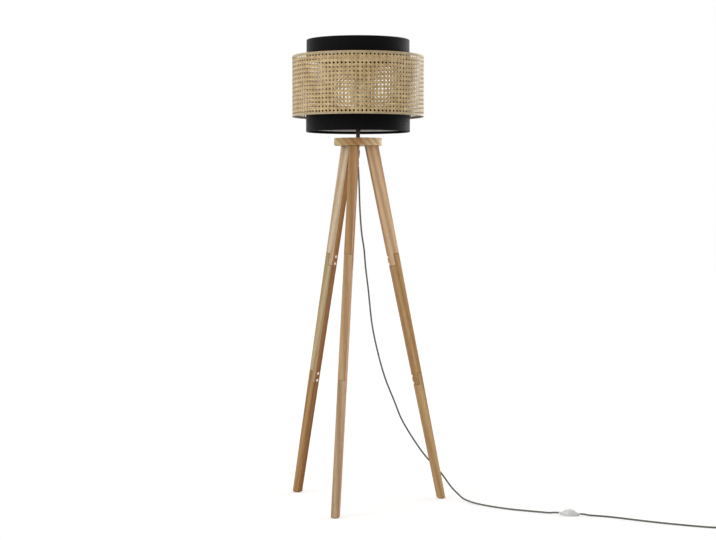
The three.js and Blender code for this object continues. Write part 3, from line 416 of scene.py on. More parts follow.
def oakMaterial(name, grainTurn, shift, flatShadedDirection, quarterTone, flatShadedTone, litEdge=0.0):
    # this direction is the way that a face sawn flat through the rings looks; faces that way take the
    # flat-sawn tone, which also carries painted shade
    material, tree, shader = newMaterial(name, {"Roughness": 0.6, "Specular IOR Level": 0.3, "IOR": 1.5})
    place = addNode(tree, "ShaderNodeTexCoord")
    lined = addNode(tree, "ShaderNodeMapping", {"Vector": place.outputs["Object"], "Location": shift,
                    "Rotation": grainTurn.to_euler(), "Scale": oak["grain"]}, vector_type="TEXTURE")
    bands = addNode(tree, "ShaderNodeTexWave", {"Vector": lined.outputs["Vector"], "Scale": 0.22,
                    "Distortion": 3.5, "Detail": 2.0, "Detail Scale": 0.8}, bands_direction="DIAGONAL")
    fibres = addNode(tree, "ShaderNodeTexNoise", {"Vector": lined.outputs["Vector"], "Scale": 5.5,
                     "Detail": 4.0, "Roughness": 0.65})
    pores = addNode(tree, "ShaderNodeTexNoise", {"Vector": lined.outputs["Vector"], "Scale": 13.0,
                    "Detail": 1.0})
    poreMask = addNode(tree, "ShaderNodeMapRange", {"Value": pores.outputs["Fac"], "From Min": 0.62,
                       "From Max": 0.74, "To Max": 0.5})
    bandTone = addNode(tree, "ShaderNodeMath", {0: bands.outputs["Fac"], 1: 0.3, 2: -0.05},
                       operation="MULTIPLY_ADD")
    fibreTone = addNode(tree, "ShaderNodeMath", {0: fibres.outputs["Fac"], 1: 0.85, 2: bandTone.outputs[0]},
                        operation="MULTIPLY_ADD")
    grain = addNode(tree, "ShaderNodeValToRGB", {"Fac": fibreTone.outputs[0]},
                    stops=[(0.25, oak["grainLight"]), (0.85, oak["grainDark"])])
    pored = addNode(tree, "ShaderNodeMix", {0: poreMask.outputs["Result"], 6: grain.outputs["Color"],
                    7: linear(oak["pore"])}, data_type="RGBA")
    surface = addNode(tree, "ShaderNodeNewGeometry")
    facing = addNode(tree, "ShaderNodeVectorMath", {0: surface.outputs["True Normal"], 1: flatShadedDirection},
                     operation="DOT_PRODUCT")
    turned = addNode(tree, "ShaderNodeMath", {0: facing.outputs["Value"]}, operation="ABSOLUTE")
    sawn = addNode(tree, "ShaderNodeMapRange", {"Value": turned.outputs[0], "From Min": 0.5, "From Max": 1.0})
    tone = addNode(tree, "ShaderNodeMix", {0: sawn.outputs["Result"], 6: linear(quarterTone),
                   7: linear(flatShadedTone)}, data_type="RGBA")
    if litEdge:
        # painted light: the board is painted paler towards its right edge, standing in for light from the
        # right
        across = addNode(tree, "ShaderNodeSeparateXYZ", {"Vector": place.outputs["Object"]})
        litEdgeMix = addNode(tree, "ShaderNodeMapRange", {"Value": across.outputs["X"], "From Min": 0.02,
                        "From Max": 0.075, "To Max": litEdge})
        tone = addNode(tree, "ShaderNodeMix", {0: litEdgeMix.outputs["Result"], 6: tone.outputs[2],
                       7: linear(hub["litEdgeTone"])}, data_type="RGBA")
    wood = addNode(tree, "ShaderNodeMix", {0: 1.0, 6: tone.outputs[2], 7: pored.outputs[2]},
                   data_type="RGBA", blend_type="MULTIPLY")
    bump = addNode(tree, "ShaderNodeBump", {"Height": fibres.outputs["Fac"], "Strength": 0.25,
                   "Distance": 0.3 * mm})
    tree.links.new(wood.outputs[2], shader.inputs["Base Color"])
    tree.links.new(bump.outputs["Normal"], shader.inputs["Normal"])
    return material


# Wood glue and dust in the joints, and painted shade in the lap grooves: a brown line, a little darker than
# the oak.
glueAndShadeLine = grained("woodGlueAndShadeLine", {"Roughness": 0.8}, 300.0, tones=("#86643f", "#97734b"))


def legSection(cadNode, name, material, outwards, sideways, along):
    bm = cadMesh(cadNode)
    foot = Vector((0, axisY, 0)) + Vector((outwards.x, outwards.y, 0)).normalized() * oak["footRadius"]

    def inLap(point):
        reach = (point - foot).dot(along)
        return any(abs(reach - middle) < oak["lapReach"] for middle in oak["lapMiddles"])

    # the edges where a tongue's end meets its shoulder on the outer and inner faces are eased
    seams = []
    for edge in bm.edges:
        middle = (edge.verts[0].co + edge.verts[1].co) / 2
        way = (edge.verts[1].co - edge.verts[0].co).normalized()
        isOuter = abs((middle - foot).dot(outwards)) > oak["seamReach"]
        if abs(way.dot(sideways)) > 0.99 and isOuter and inLap(middle):
            seams.append(edge)
    bmesh.ops.bevel(bm, geom=seams, offset=oak["seamEase"], segments=1, profile=0.5, affect="EDGES",
                    material=-1)
    bm.normal_update()
    # the lap ends and the tongues' split take the glue line, which also paints the shade in these grooves
    for face in bm.faces:
        middle = face.calc_center_median()
        end, side, out = (abs(face.normal.dot(axis)) for axis in (along, sideways, outwards))
        isSplit = side > 0.5 and out > 0.5 and abs((middle - foot).dot(outwards)) < oak["splitReach"]
        if inLap(middle) and (end > 0.5 or isSplit):
            face.material_index = 1  # the glue line
    piece = finishPiece(bm, name, material)
    piece.data.materials.append(glueAndShadeLine)
    standFor(piece, "oak", cadNode)


for leg in range(3):
    spokeTurn = math.radians(-90 + 120 * leg)
    spoke = Vector((math.cos(spokeTurn), math.sin(spokeTurn), 0))
    outwards = spoke * math.cos(oak["lean"]) + Vector((0, 0, math.sin(oak["lean"])))
    along = Vector((0, 0, math.cos(oak["lean"]))) - spoke * math.sin(oak["lean"])
    sideways = outwards.cross(along)
    legTurn = Matrix.Rotation(spokeTurn, 3, "Z") @ Matrix.Rotation(-oak["lean"], 3, "Y")
    for level, section in enumerate(("lower", "middle", "upper")):
        count = 3 * leg + level
        stepX, stepY, stepZ = oak["boardStep"]
        shift = (stepX * count, axisY + stepY * count, stepZ * count)
        name = f"leg{leg + 1}{section.capitalize()}Section"
        material = oakMaterial(f"{name}Oak", legTurn, shift, outwards, oak["quarterSawn"][count],
                               oak["flatSawnShaded"][count])
        legSection(f"leg_{leg + 1}_{section}_section", name, material, outwards, sideways, along)

# the hub's board lies with its grain from front to back, so its end grain shows there, a little browner; that
# browner front is also painted shade on the hub's middle
hub = {
    "grainAzimuth": 14,
    "grainShift": (0.05, axisY, 1.1),
    "longGrain": "#d0be8a",
    # the end-grain tone below is partly painted shade on the hub's front
    "endGrainShaded": "#b78b5b",
    # the pale tone below is painted light on the hub's right edge
    "litEdgeTone": "#fee0b3",
    "litEdgeShare": 0.9,
}
flat = Matrix.Rotation(math.radians(90), 3, "X")
grainTurn = Matrix.Rotation(math.radians(hub["grainAzimuth"]), 3, "Z") @ flat
grainWay = grainTurn @ Vector((0, 0, 1))
hubOak = oakMaterial("hubOak", grainTurn, hub["grainShift"], grainWay, hub["longGrain"], hub["endGrainShaded"],
                     hub["litEdgeShare"])
softened("hub_disc", "hubDisc", hubOak, "oak")
print("tripod dressed")

# Nickel-plated steel: bright and a little warm, slightly uneven from the plating bath.
nickelSteel = grained("nickelPlatedSteel", {"Base Color": "#dccfbe", "Metallic": 1.0, "Roughness": 0.34},
                      420.0, detail=3.0, roughness=(0.24, 0.42))

# Bronzed steel tube: dark brown patina, satin.
bronzeTube = grained("bronzedSteel", {"Metallic": 0.35, "Roughness": 0.5}, 160.0, detail=4.0,
                     tones=("#2f1e12", "#462f1c"))

# Injection-moulded ABS: faint orange-peel in the light, even colour.
moulded = {}
for name, color, roughness in (("blackAbs", "#1d1d20", 0.42), ("whiteAbs", "#e6e5e1", 0.36),
                               ("greyAbs", "#77767a", 0.45)):
    moulded[name] = grained(name, {"Base Color": color, "Roughness": roughness, "IOR": 1.53}, 900.0,
                            bump=(0.12, 0.1 * mm))

# Milky polycarbonate: light goes a little way in and comes back soft.
milkyPlastic = grained("milkyPolycarbonate", {"Base Color": "#c8c8c7", "Roughness": 0.36, "IOR": 1.58,
                       "Transmission Weight": 0.08}, 260.0, bump=(0.1, 0.1 * mm))

# Wool felt: matt, with short loose fibres.
felt = grained("woolFelt", {"Roughness": 0.95, "Sheen Weight": 0.3}, 1100.0, detail=4.0,
               tones=("#25221f", "#47423c"), bump=(0.5, 0.2 * mm))

# Brass, drawn and nickel-free: warm, its shine a little uneven.
brass = grained("drawnBrass", {"Base Color": "#c9a55a", "Metallic": 1.0, "Roughness": 0.28}, 700.0,
                roughness=(0.2, 0.36))

# Steatite: dense unglazed ceramic, faintly grainy.
steatite = grained("steatite", {"Roughness": 0.6}, 1500.0, tones=("#ddd8cb", "#f1ede3"))

# Frosted lamp glass: an even milky white, a soft shine.
frostedGlass = grained("frostedLampGlass", {"Base Color": "#f4f2ec", "Roughness": 0.32, "IOR": 1.5,
                       "Transmission Weight": 0.12}, 2200.0, bump=(0.1, 0.05 * mm))

for leg in (1, 2, 3):
    for lap in ("lower", "upper"):
        for bolt in (1, 2):
            softened(f"leg_{leg}_{lap}_lap_bolt_{bolt}", f"leg{leg}{lap.capitalize()}Bolt{bolt}", nickelSteel,
                     "steel")
    softened(f"hub_screw_{leg}", f"hubScrew{leg}", nickelSteel, "steel")
    softened(f"foot_pad_{leg}", f"footPad{leg}", felt, "felt")
softened("hub_nut", "hubNut", nickelSteel, "steel")
softened("threaded_rod", "threadedRod", nickelSteel, "steel")
softened("cord_grip", "cordGrip", moulded["greyAbs"], "black_plastic")
softened("holder_cap", "holderCap", moulded["blackAbs"], "black_plastic")
softened("holder_shell", "holderShell", moulded["blackAbs"], "black_plastic")
softened("shade_ring_nut", "shadeRingNut", moulded["blackAbs"], "black_plastic")
softened("contact_block", "contactBlock", steatite, "ceramic")
softened("bulb_cap", "bulbCap", nickelSteel, "steel")
dress(brass, "centre_contact", "plug_pin_1", "plug_pin_2")
dress(clothCord, "stem_lead")
dress(felt, "coil_tie")
dress(milkyPlastic, "switch_base", "switch_cover")
dress(moulded["whiteAbs"], "switch_button", "switch_core", "plug_body")

sleeve = {
    "bore": 5.15 * mm,
    "collarRadius": 8.1 * mm,
    "collarBottom": 1.2835,
    "collarTop": 1.2915,
    "collarEase": 0.8 * mm,
    "steps": 48,
}
sleeveLow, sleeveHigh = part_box("stem_sleeve")
tube, bore, collar = (sleeveHigh.x - sleeveLow.x) / 2, sleeve["bore"], sleeve["collarRadius"]
bm = bmesh.new()
spunBody(bm, [(bore, sleeveLow.z), (tube, sleeveLow.z), (tube, sleeve["collarBottom"]),
              (collar, sleeve["collarBottom"] + sleeve["collarEase"]),
              (collar, sleeve["collarTop"] - sleeve["collarEase"]), (tube, sleeve["collarTop"]),
              (tube, sleeveHigh.z), (bore, sleeveHigh.z)], sleeve["steps"], closed=True)
standFor(finishPiece(bm, "stemSleeve", bronzeTube), "bronze", "stem_sleeve")
print("small parts dressed")

bulb = {
    "radius": 30 * mm,
    "steps": 48,
    # from the neck to the top, as shares of the radius and of the height
    "outline": [(0.0, 0.0), (0.45, 0.0), (0.46, 0.08), (0.50, 0.17), (0.58, 0.26), (0.70, 0.34), (0.83, 0.42),
                (0.93, 0.51), (0.985, 0.59), (1.0, 0.655), (0.98, 0.73), (0.93, 0.80), (0.84, 0.87),
                (0.71, 0.925), (0.54, 0.965), (0.34, 0.99), (0.16, 0.998), (0.0, 1.0)],
}
glassLow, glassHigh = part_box("bulb_glass")
glassHeight = glassHigh.z - glassLow.z
bm = bmesh.new()
spunBody(bm, [(r * bulb["radius"], glassLow.z + h * glassHeight) for r, h in bulb["outline"]], bulb["steps"])
standFor(finishPiece(bm, "bulbGlass", frostedGlass, sharpDegrees=50), "frosted_glass", "bulb_glass")
print("bulb blown")

ringLow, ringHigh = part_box("cane_top_binding")
shadeShape = {
    "steps": 192,
    "cloth": 0.6 * mm,
    "film": 0.6 * mm,
    "hem": 9.5 * mm,  # how far a band's hem reaches from its edge
    "hemFold": 6 * mm,
    "hemRoll": 2.2 * mm,
    "hemInset": 2.4 * mm,
    "faceRest": 12 * mm,  # the face is straight from here
    "ringLine": (ringHigh.x - ringLow.x) / 2 - 2.5 * mm,  # the cane ring's hoops and webbing
    "ringTop": ringHigh.z,
    "ringBottom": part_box("cane_bottom_binding")[0].z,
    "binding": ringHigh.z - ringLow.z,
}

# Black cotton weave, glued to the lining: dull, a fine cross weave, threads of uneven thickness.
blackCotton, tree, shader = newMaterial("blackCottonWeave", {"Roughness": 0.6, "Specular IOR Level": 0.05,
                                        "Sheen Weight": 0.2, "Sheen Roughness": 0.25})
clothUv = addNode(tree, "ShaderNodeUVMap", uv_map="wrap")
threads = []
for direction in ("X", "Y"):
    # real threads lie 0.35 mm apart; drawn 0.9 mm apart so that they show
    threads.append(addNode(tree, "ShaderNodeTexWave", {"Vector": clothUv.outputs["UV"], "Scale": 350.0,
                           "Distortion": 1.2, "Detail": 2.0, "Detail Scale": 0.6}, bands_direction=direction))
weave = addNode(tree, "ShaderNodeMath", {0: threads[0].outputs["Fac"], 1: threads[1].outputs["Fac"]},
                operation="MULTIPLY")
slub = addNode(tree, "ShaderNodeTexNoise", {"Vector": clothUv.outputs["UV"], "Scale": 260.0, "Detail": 3.0})
clothTone = addNode(tree, "ShaderNodeMath", {0: weave.outputs[0], 1: slub.outputs["Fac"]}, operation="ADD")
clothColor = addNode(tree, "ShaderNodeValToRGB", {"Fac": clothTone.outputs[0]},
                     stops=[(0.3, "#030304"), (0.9, "#060608"), (1.3, "#0a0a0d")])
clothBump = addNode(tree, "ShaderNodeBump", {"Height": weave.outputs[0], "Strength": 0.5,
                    "Distance": 0.25 * mm})
tree.links.new(clothColor.outputs["Color"], shader.inputs["Base Color"])
tree.links.new(clothBump.outputs["Normal"], shader.inputs["Normal"])

# Styrene lining film: white, smooth, a little satin. The upper band's is painted a darker tan: painted shade,
# warmed by the cane, inside the shade.
film = {}
for name, color in (("lower", "#cfd0cd"), ("upper", "#b5a084")):
    film[name] = grained(f"{name}StyreneFilm", {"Base Color": color, "Roughness": 0.5, "IOR": 1.57}, 45.0,
                         detail=1.0, bump=(0.08, 0.5 * mm))

# Powder-coated wire, with the coating's faint grain; its warm grey brown is partly painted shade, darkened
# for the dim inside of the shade.
wireInShade = grained("powderCoatedWireShaded", {"Base Color": "#6b5a44", "Roughness": 0.5}, 1600.0,
                     bump=(0.15, 0.1 * mm))


def band(name, cadFabric, cadLining):
    low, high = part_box(cadFabric)
    outer = (high.x - low.x) / 2
    cloth, roll, rest = shadeShape["cloth"], shadeShape["hemRoll"], shadeShape["faceRest"]
    face = outer - cloth / 2
    hemFace = outer - shadeShape["hemInset"]
    rollLine = face - roll
    # from the upper hem's end over the top edge, down the face and round to the lower hem's end
    line = [(hemFace, high.z - shadeShape["hem"]), (hemFace, high.z - shadeShape["hemFold"])]
    line += arc((rollLine, high.z - cloth / 2 - roll), roll, 200, 0, 10)
    line += [(face, high.z - rest), (face, (low.z + high.z) / 2), (face, low.z + rest)]
    line += arc((rollLine, low.z + cloth / 2 + roll), roll, 0, -200, 10)
    line += [(hemFace, low.z + shadeShape["hemFold"]), (hemFace, low.z + shadeShape["hem"])]
    bm = bmesh.new()
    spunBody(bm, line, shadeShape["steps"])
    bmesh.ops.solidify(bm, geom=bm.faces[:], thickness=cloth)
    bmesh.ops.recalc_face_normals(bm, faces=bm.faces)
    wrapUv(bm, outer)
    standFor(finishPiece(bm, f"{name}BandCloth", blackCotton, sharpDegrees=50), "black_fabric", cadFabric)
    bm = bmesh.new()
    lowLining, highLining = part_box(cadLining)
    liningOuter = (highLining.x - lowLining.x) / 2
    liningInner = liningOuter - shadeShape["film"]
    spunBody(bm, [(liningInner, lowLining.z), (liningOuter, lowLining.z), (liningOuter, highLining.z),
                  (liningInner, highLining.z)], shadeShape["steps"], closed=True)
    standFor(finishPiece(bm, f"{name}BandLining", film[name]), "white_lining", cadLining)


band("upper", "upper_band_fabric", "upper_band_lining")
band("lower", "lower_band_fabric", "lower_band_lining")
print("bands made")

# Natural cane: the bark of rattan, split in strips, with a slight shine. Honey tan, each strip its own
# tone. Each strip's sloped edges are painted dark, as painted shade along the strands, and its inner side
# is painted a dull dark brown: the pith, darkened as painted shade inside the shade.
cane = {
    "bark": ("#93784c", "#b99d6c", "#d5be8a"),
    "soakedBark": ("#8f8263", "#a39473", "#b4a583"),
    # the edge and pith tones below are painted shade: the strands' sloped edges and the ring's inner side
    # darkened
    "edge": "#6f5230",
    "pith": "#86693f",
}


def caneMaterial(name, stops, spread, roughness):
    material, tree, shader = newMaterial(name, {"Roughness": roughness, "IOR": 1.5, "Specular IOR Level": 0.4,
                                        "Coat Weight": 0.1, "Coat Roughness": 0.35})
    place = addNode(tree, "ShaderNodeTexCoord")
    surface = addNode(tree, "ShaderNodeNewGeometry")
    mottle = addNode(tree, "ShaderNodeTexNoise", {"Vector": place.outputs["Object"], "Scale": 60.0,
                     "Detail": 4.0})
    strip = addNode(tree, "ShaderNodeMath", {0: surface.outputs["Random Per Island"], 1: spread,
                    2: mottle.outputs["Fac"]}, operation="MULTIPLY_ADD")
    bark = addNode(tree, "ShaderNodeValToRGB", {"Fac": strip.outputs[0]},
                   stops=list(zip((0.3, 0.6, 0.95), stops)))
    # how far a face looks away from the lamp's axis tells bark, the painted edge shade and the darkened pith
    # apart
    fromAxis = addNode(tree, "ShaderNodeVectorMath", {0: place.outputs["Object"], 1: (0, axisY, 0)},
                       operation="SUBTRACT")
    level = addNode(tree, "ShaderNodeVectorMath", {0: fromAxis.outputs["Vector"], 1: (1, 1, 0)},
                    operation="MULTIPLY")
    away = addNode(tree, "ShaderNodeVectorMath", {0: level.outputs["Vector"]}, operation="NORMALIZE")
    facing = addNode(tree, "ShaderNodeVectorMath", {0: surface.outputs["True Normal"],
                     1: away.outputs["Vector"]}, operation="DOT_PRODUCT")
    outerShare = addNode(tree, "ShaderNodeMapRange", {"Value": facing.outputs["Value"], "From Min": 0.55,
                         "From Max": 0.85})
    innerShare = addNode(tree, "ShaderNodeMapRange", {"Value": facing.outputs["Value"], "From Min": -0.5,
                         "From Max": -0.8})
    edgeShaded = addNode(tree, "ShaderNodeMix", {0: outerShare.outputs["Result"], 6: linear(cane["edge"]),
                    7: bark.outputs["Color"]}, data_type="RGBA")
    pithShaded = addNode(tree, "ShaderNodeMix", {0: innerShare.outputs["Result"], 6: edgeShaded.outputs[2],
                     7: linear(cane["pith"])}, data_type="RGBA")
    fibre = addNode(tree, "ShaderNodeTexNoise", {"Vector": place.outputs["Object"], "Scale": 900.0,
                    "Detail": 2.0})
    bump = addNode(tree, "ShaderNodeBump", {"Height": fibre.outputs["Fac"], "Strength": 0.2,
                   "Distance": 0.15 * mm})
    tree.links.new(pithShaded.outputs[2], shader.inputs["Base Color"])
    tree.links.new(bump.outputs["Normal"], shader.inputs["Normal"])
    return material


splitCane = caneMaterial("splitCane", cane["bark"], 0.35, 0.42)
# Binding cane: the same bark, wider, greyer where it was soaked to bend it.
bindingCane = caneMaterial("bindingCane", cane["soakedBark"], 0.0, 0.5)

webbing = {
    "columns": 104,
    "rows": 14,
    "rowPitch": 14.4 * mm,
    "firstHole": 1.347,
    "holeAzimuth": -75.69,  # of the front column of holes, in degrees
    "pair": 1.9 * mm,  # half the distance between the two strands of a pair
    "strand": (3.3 * mm, 0.9 * mm),  # width and thickness
    "diagonal": (3.4 * mm, 0.8 * mm),
    "wave": 0.42 * mm,  # how far a strand swings out and in as it is woven
    "diagonalWave": 0.95 * mm,
    "stretch": 0.0165,  # the webbing was stretched unevenly: columns lie wider in front than behind
    "drift": 0.245,  # and the ones behind are this share of a column further round
}
columnStep = 2 * math.pi / webbing["columns"]
firstColumn = math.radians(webbing["holeAzimuth"]) + columnStep / 2
firstLevel = webbing["firstHole"] - webbing["rowPitch"] / 2


def strandSection(width, thickness):
    # flat behind, narrower in front
    narrow = width * 0.3
    return [(-width / 2, -thickness / 2), (width / 2, -thickness / 2), (narrow, thickness / 2),
            (-narrow, thickness / 2)]


def onRing(angle, height, proud=0.0):
    radius = shadeShape["ringLine"] + proud
    return Vector((radius * math.cos(angle), axisY + radius * math.sin(angle), height))


def strandStations(places):
    # places are (angle, height, proud); the strand's face looks away from the axis
    path = [onRing(*place) for place in places]
    frames = []
    for i, point in enumerate(path):
        way = wayAt(path, i)
        out = Vector((math.cos(places[i][0]), math.sin(places[i][0]), 0))
        out = (out - way * out.dot(way)).normalized()
        frames.append(frameAt(point, out.cross(way), out, way))
    return frames


def unevenly(bm):
    # the webbing's stretch and drift, as turns about the lamp's axis
    facing = math.radians(webbing["holeAzimuth"])
    centre = Vector((0, axisY, 0))
    drift = webbing["drift"] * columnStep
    for vert in bm.verts:
        turn = math.atan2(vert.co.y - axisY, vert.co.x) - facing
        moved = webbing["stretch"] * math.sin(turn) + drift * (1 - math.cos(turn)) / 2
        vert.co = Matrix.Rotation(moved, 3, "Z") @ (vert.co - centre) + centre


def aroundAxis(bm):
    bmesh.ops.recalc_face_normals(bm, faces=bm.faces)
    count = webbing["columns"]
    bmesh.ops.spin(bm, geom=bm.verts[:] + bm.edges[:] + bm.faces[:], cent=(0, axisY, 0), axis=(0, 0, 1),
                   angle=columnStep * (count - 1), steps=count - 1, use_duplicate=True)
    unevenly(bm)


# upright strands, in pairs: one of each pair goes over a level strand where the other goes under
bm = bmesh.new()
for side in (-1, 1):
    angle = firstColumn + side * webbing["pair"] / shadeShape["ringLine"]
    places = []
    for row in range(webbing["rows"] + 1):
        level = firstLevel + row * webbing["rowPitch"]
        places.append((angle, level - webbing["pair"], side * webbing["wave"]))
        places.append((angle, level + webbing["pair"], -side * webbing["wave"]))
        if row < webbing["rows"]:
            places.append((angle, level + webbing["rowPitch"] / 2, 0))
    sweep(bm, strandStations(places), strandSection(*webbing["strand"]))
aroundAxis(bm)
standFor(finishPiece(bm, "webbingUprights", splitCane, sharpDegrees=40), "cane", "cane_webbing")

# level strands: whole rings, waved against the uprights
bm = bmesh.new()
for side in (-1, 1):
    level = firstLevel + side * webbing["pair"]
    section = strandSection(*webbing["strand"])
    rim = [bm.verts.new((shadeShape["ringLine"] + y, axisY, level + x)) for x, y in section]
    face = bm.faces.new(rim)
    edges = face.edges[:]
    bmesh.ops.delete(bm, geom=[face], context="FACES_ONLY")
    bmesh.ops.spin(bm, geom=rim + edges, cent=(0, axisY, 0), axis=(0, 0, 1), angle=2 * math.pi,
                   steps=4 * webbing["columns"], use_merge=True)
for vert in bm.verts:
    angle = math.atan2(vert.co.y - axisY, vert.co.x)
    side = 1 if vert.co.z > firstLevel else -1
    phase = angle / columnStep
    proud = side * webbing["wave"] * math.sin(2 * math.pi * phase)
    vert.co += Vector((math.cos(angle), math.sin(angle), 0)) * proud
bmesh.ops.rotate(bm, cent=(0, axisY, 0), matrix=Matrix.Rotation(firstColumn, 3, "Z"), verts=bm.verts)
ringPair = bm.verts[:] + bm.edges[:] + bm.faces[:]
for row in range(1, webbing["rows"] + 1):
    copied = bmesh.ops.duplicate(bm, geom=ringPair)["geom"]
    moved = [g for g in copied if isinstance(g, bmesh.types.BMVert)]
    bmesh.ops.translate(bm, vec=(0, 0, row * webbing["rowPitch"]), verts=moved)
unevenly(bm)
bmesh.ops.recalc_face_normals(bm, faces=bm.faces)
standFor(finishPiece(bm, "webbingLevels", splitCane, sharpDegrees=40), "cane", "cane_webbing")

# diagonals, both ways: each goes over one pair and under the next
for lean, name in ((1, "webbingRising"), (-1, "webbingFalling")):
    bm = bmesh.new()
    places = []
    for quarter in range(4 * webbing["rows"] + 1):
        rows = quarter / 4
        angle = firstColumn + lean * (rows + 0.5) * columnStep
        proud = -lean * webbing["diagonalWave"] * math.cos(2 * math.pi * rows)
        places.append((angle, firstLevel + rows * webbing["rowPitch"], proud))
    sweep(bm, strandStations(places), strandSection(*webbing["diagonal"]))
    aroundAxis(bm)
    standFor(finishPiece(bm, name, splitCane, sharpDegrees=40), "cane", "cane_webbing")
print("webbing woven")

binding = {
    "thickness": 0.7 * mm,
    "roll": 2.1 * mm,
    "flank": 2.2 * mm,
    "grip": 1.55 * mm,  # the strip presses on the webbing below the hoop
}


def bindingStrip(name, edge, up, cadNode):
    # a strip folded over the hoop: up is 1 at the ring's top edge
    line, roll, grip = shadeShape["ringLine"], binding["roll"], binding["grip"]
    edgeLine = edge - up * (roll + binding["thickness"] / 2)
    flankEnd, stripEnd = edgeLine - up * binding["flank"], edge - up * shadeShape["binding"]
    profile = [(line + grip, stripEnd), (line + roll, flankEnd)]
    profile += arc((line, edgeLine), roll, 0, 180 * up, 10)
    profile += [(line - roll, flankEnd), (line - grip, stripEnd)]
    bm = bmesh.new()
    spunBody(bm, profile, shadeShape["steps"])
    bmesh.ops.solidify(bm, geom=bm.faces[:], thickness=binding["thickness"])
    bmesh.ops.recalc_face_normals(bm, faces=bm.faces)
    wrapUv(bm, line)
    standFor(finishPiece(bm, name, bindingCane, sharpDegrees=50), "cane", cadNode)


bindingStrip("topBinding", shadeShape["ringTop"], 1, "cane_top_binding")
bindingStrip("bottomBinding", shadeShape["ringBottom"], -1, "cane_bottom_binding")
print("bindings folded")

upperLow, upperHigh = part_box("upper_band_fabric")
lowerLow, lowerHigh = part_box("lower_band_fabric")
wires = {
    "radius": 1.5 * mm,
    "sides": 10,
    "turn": 14.2,  # of the first arm, in degrees
    "bend": 2.5 * mm,
    "strutLine": 174.6 * mm,
    "spokeStep": 2.4 * mm,  # the spokes lie this far outside the uprights
    "spokeEnd": shadeShape["ringLine"] - 2 * mm,
    "upperHoop": 175.5 * mm,
    "lowerHoop": 177.3 * mm,
    "hoopInset": 2.4 * mm,  # from a band's edge to its hoop
    "edgeInset": 2.5 * mm,  # and from the cane ring's
    "hoopSteps": 96,
    "ringSeat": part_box("shade_ring_nut")[0].z - 1.3 * mm,
    "ringBore": 19.2 * mm,
    "ringRadius": 29 * mm,
    "ringHalf": 1 * mm,  # half of its thickness
    "ringSteps": 64,
}


def bentPath(corners, bend):
    # straight wire with its corners bent round
    path = [corners[0]]
    for a, b, c in zip(corners, corners[1:], corners[2:]):
        first = b + (a - b).normalized() * bend
        last = b + (c - b).normalized() * bend
        for i in range(5):
            t = i / 4
            path.append(first * (1 - t) ** 2 + b * 2 * t * (1 - t) + last * t * t)
    path.append(corners[-1])
    return path


def mergeInto(bm, other):
    part = bpy.data.meshes.new("wirePart")
    other.to_mesh(part)
    other.free()
    bm.from_mesh(part)
    bpy.data.meshes.remove(part)


strut, seat, inset = wires["strutLine"], wires["ringSeat"], wires["hoopInset"]
spoke, spokeEnd, ringRadius = strut + wires["spokeStep"], wires["spokeEnd"], wires["ringRadius"]
topHoop = shadeShape["ringTop"] - wires["edgeInset"]
bottomHoop = shadeShape["ringBottom"] + wires["edgeInset"]
# the corners of one upright, one arm and two spokes, as distance from the axis and height
runs = [
    [(strut, lowerLow.z + inset), (strut, upperHigh.z - inset)],
    [(ringRadius - 4 * mm, seat), (ringRadius + 3 * mm, seat), (strut - 1 * mm, lowerHigh.z + 5 * mm)],
    [(spoke, upperLow.z - 9 * mm), (spoke, upperLow.z - 3 * mm), (spokeEnd, topHoop)],
    [(spoke, lowerHigh.z + 9 * mm), (spoke, lowerHigh.z + 3 * mm), (spokeEnd, bottomHoop)],
]
bm = bmesh.new()
for arm in range(4):
    turn = Matrix.Rotation(math.radians(wires["turn"] + 90 * arm), 4, "Z")
    for run in runs:
        corners = [Vector((x, 0, z)) for x, z in run]
        path = [turn @ p + Vector((0, axisY, 0)) for p in bentPath(corners, wires["bend"])]
        sweep(bm, stations(path, turn @ Vector((0, 1, 0))), roundSection(wires["radius"], wires["sides"]))
for hoopLine in ((wires["upperHoop"], upperHigh.z - inset), (wires["upperHoop"], upperLow.z + inset),
                 (wires["lowerHoop"], lowerHigh.z - inset), (wires["lowerHoop"], lowerLow.z + inset),
                 (shadeShape["ringLine"], topHoop), (shadeShape["ringLine"], bottomHoop)):
    hoop = bmesh.new()
    spunBody(hoop, arc(hoopLine, wires["radius"], 0, 315, 7), wires["hoopSteps"], closed=True)
    mergeInto(bm, hoop)
disc = bmesh.new()
discBottom, discTop = seat - wires["ringHalf"], seat + wires["ringHalf"]
spunBody(disc, [(wires["ringBore"], discBottom), (ringRadius, discBottom), (ringRadius, discTop),
                (wires["ringBore"], discTop)], wires["ringSteps"], closed=True)
mergeInto(bm, disc)
bmesh.ops.recalc_face_normals(bm, faces=bm.faces)
standFor(finishPiece(bm, "shadeWires", wireInShade, sharpDegrees=40), "white_wire", "shade_frame")
print("wire frame welded")

studio = {
    "floorSize": 20,
    "floorColor": "#dedddb",
    "floorGlow": 0.44,
    "ambient": 0.40,
    # name: strength, azimuth from the front and elevation in degrees, spread in degrees
    "suns": {"keySun": (1.9, -42, 13, 50), "frontSun": (0.7, 20, 12, 50), "rightSun": (1.4, 112, 12, 60),
             "leftSun": (0.9, -115, 12, 60), "rimSun": (1.2, 156, 10, 30)},
}


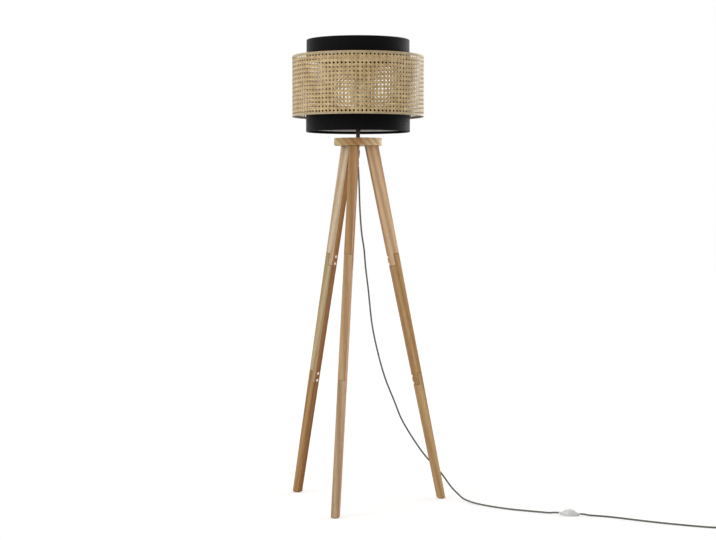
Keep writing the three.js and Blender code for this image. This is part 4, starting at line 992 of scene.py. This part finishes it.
def showsWhite(tree):
    # 1 where the camera, a reflection or a view through glass meets the background, 0 for the light it gives
    ray = addNode(tree, "ShaderNodeLightPath")
    seen = addNode(tree, "ShaderNodeMath", {0: ray.outputs["Is Camera Ray"], 1: ray.outputs["Is Glossy Ray"]},
                   operation="MAXIMUM")
    return addNode(tree, "ShaderNodeMath", {0: seen.outputs[0], 1: ray.outputs["Is Transmission Ray"]},
                   operation="MAXIMUM").outputs[0]


floorMaterial = bpy.data.materials.new("studioFloor")
floorMaterial.use_nodes = True
tree = floorMaterial.node_tree
tree.nodes.clear()
paint = addNode(tree, "ShaderNodeBsdfDiffuse", {"Color": linear(studio["floorColor"])})
glow = addNode(tree, "ShaderNodeEmission", {"Color": (1, 1, 1, 1)})
lift = addNode(tree, "ShaderNodeMath", {0: showsWhite(tree), 1: studio["floorGlow"]}, operation="MULTIPLY")
tree.links.new(lift.outputs[0], glow.inputs["Strength"])
both = addNode(tree, "ShaderNodeAddShader", {0: paint.outputs[0], 1: glow.outputs[0]})
addNode(tree, "ShaderNodeOutputMaterial", {"Surface": both.outputs[0]})
bm = bmesh.new()
bmesh.ops.create_grid(bm, x_segments=1, y_segments=1, size=studio["floorSize"])
floor = finishPiece(bm, "studioFloor", floorMaterial, smooth=False)

world = bpy.data.worlds.new("studioWorld")
bpy.context.scene.world = world
world.use_nodes = True
tree = world.node_tree
tree.nodes.clear()
strength = addNode(tree, "ShaderNodeMapRange", {"Value": showsWhite(tree), "To Min": studio["ambient"],
                   "To Max": 1.0})
sky = addNode(tree, "ShaderNodeBackground", {"Color": (1, 1, 1, 1), "Strength": strength.outputs["Result"]})
addNode(tree, "ShaderNodeOutputWorld", {"Surface": sky.outputs[0]})

for name, (power, azimuth, elevation, spread) in studio["suns"].items():
    light = bpy.data.lights.new(name, "SUN")
    light.energy = power
    light.angle = math.radians(spread)
    sun = bpy.data.objects.new(name, light)
    sun.rotation_euler = lookFrom(azimuth, elevation).to_track_quat("Z", "Y").to_euler()
    bpy.context.scene.collection.objects.link(sun)

bpy.context.scene.view_settings.view_transform = "Standard"
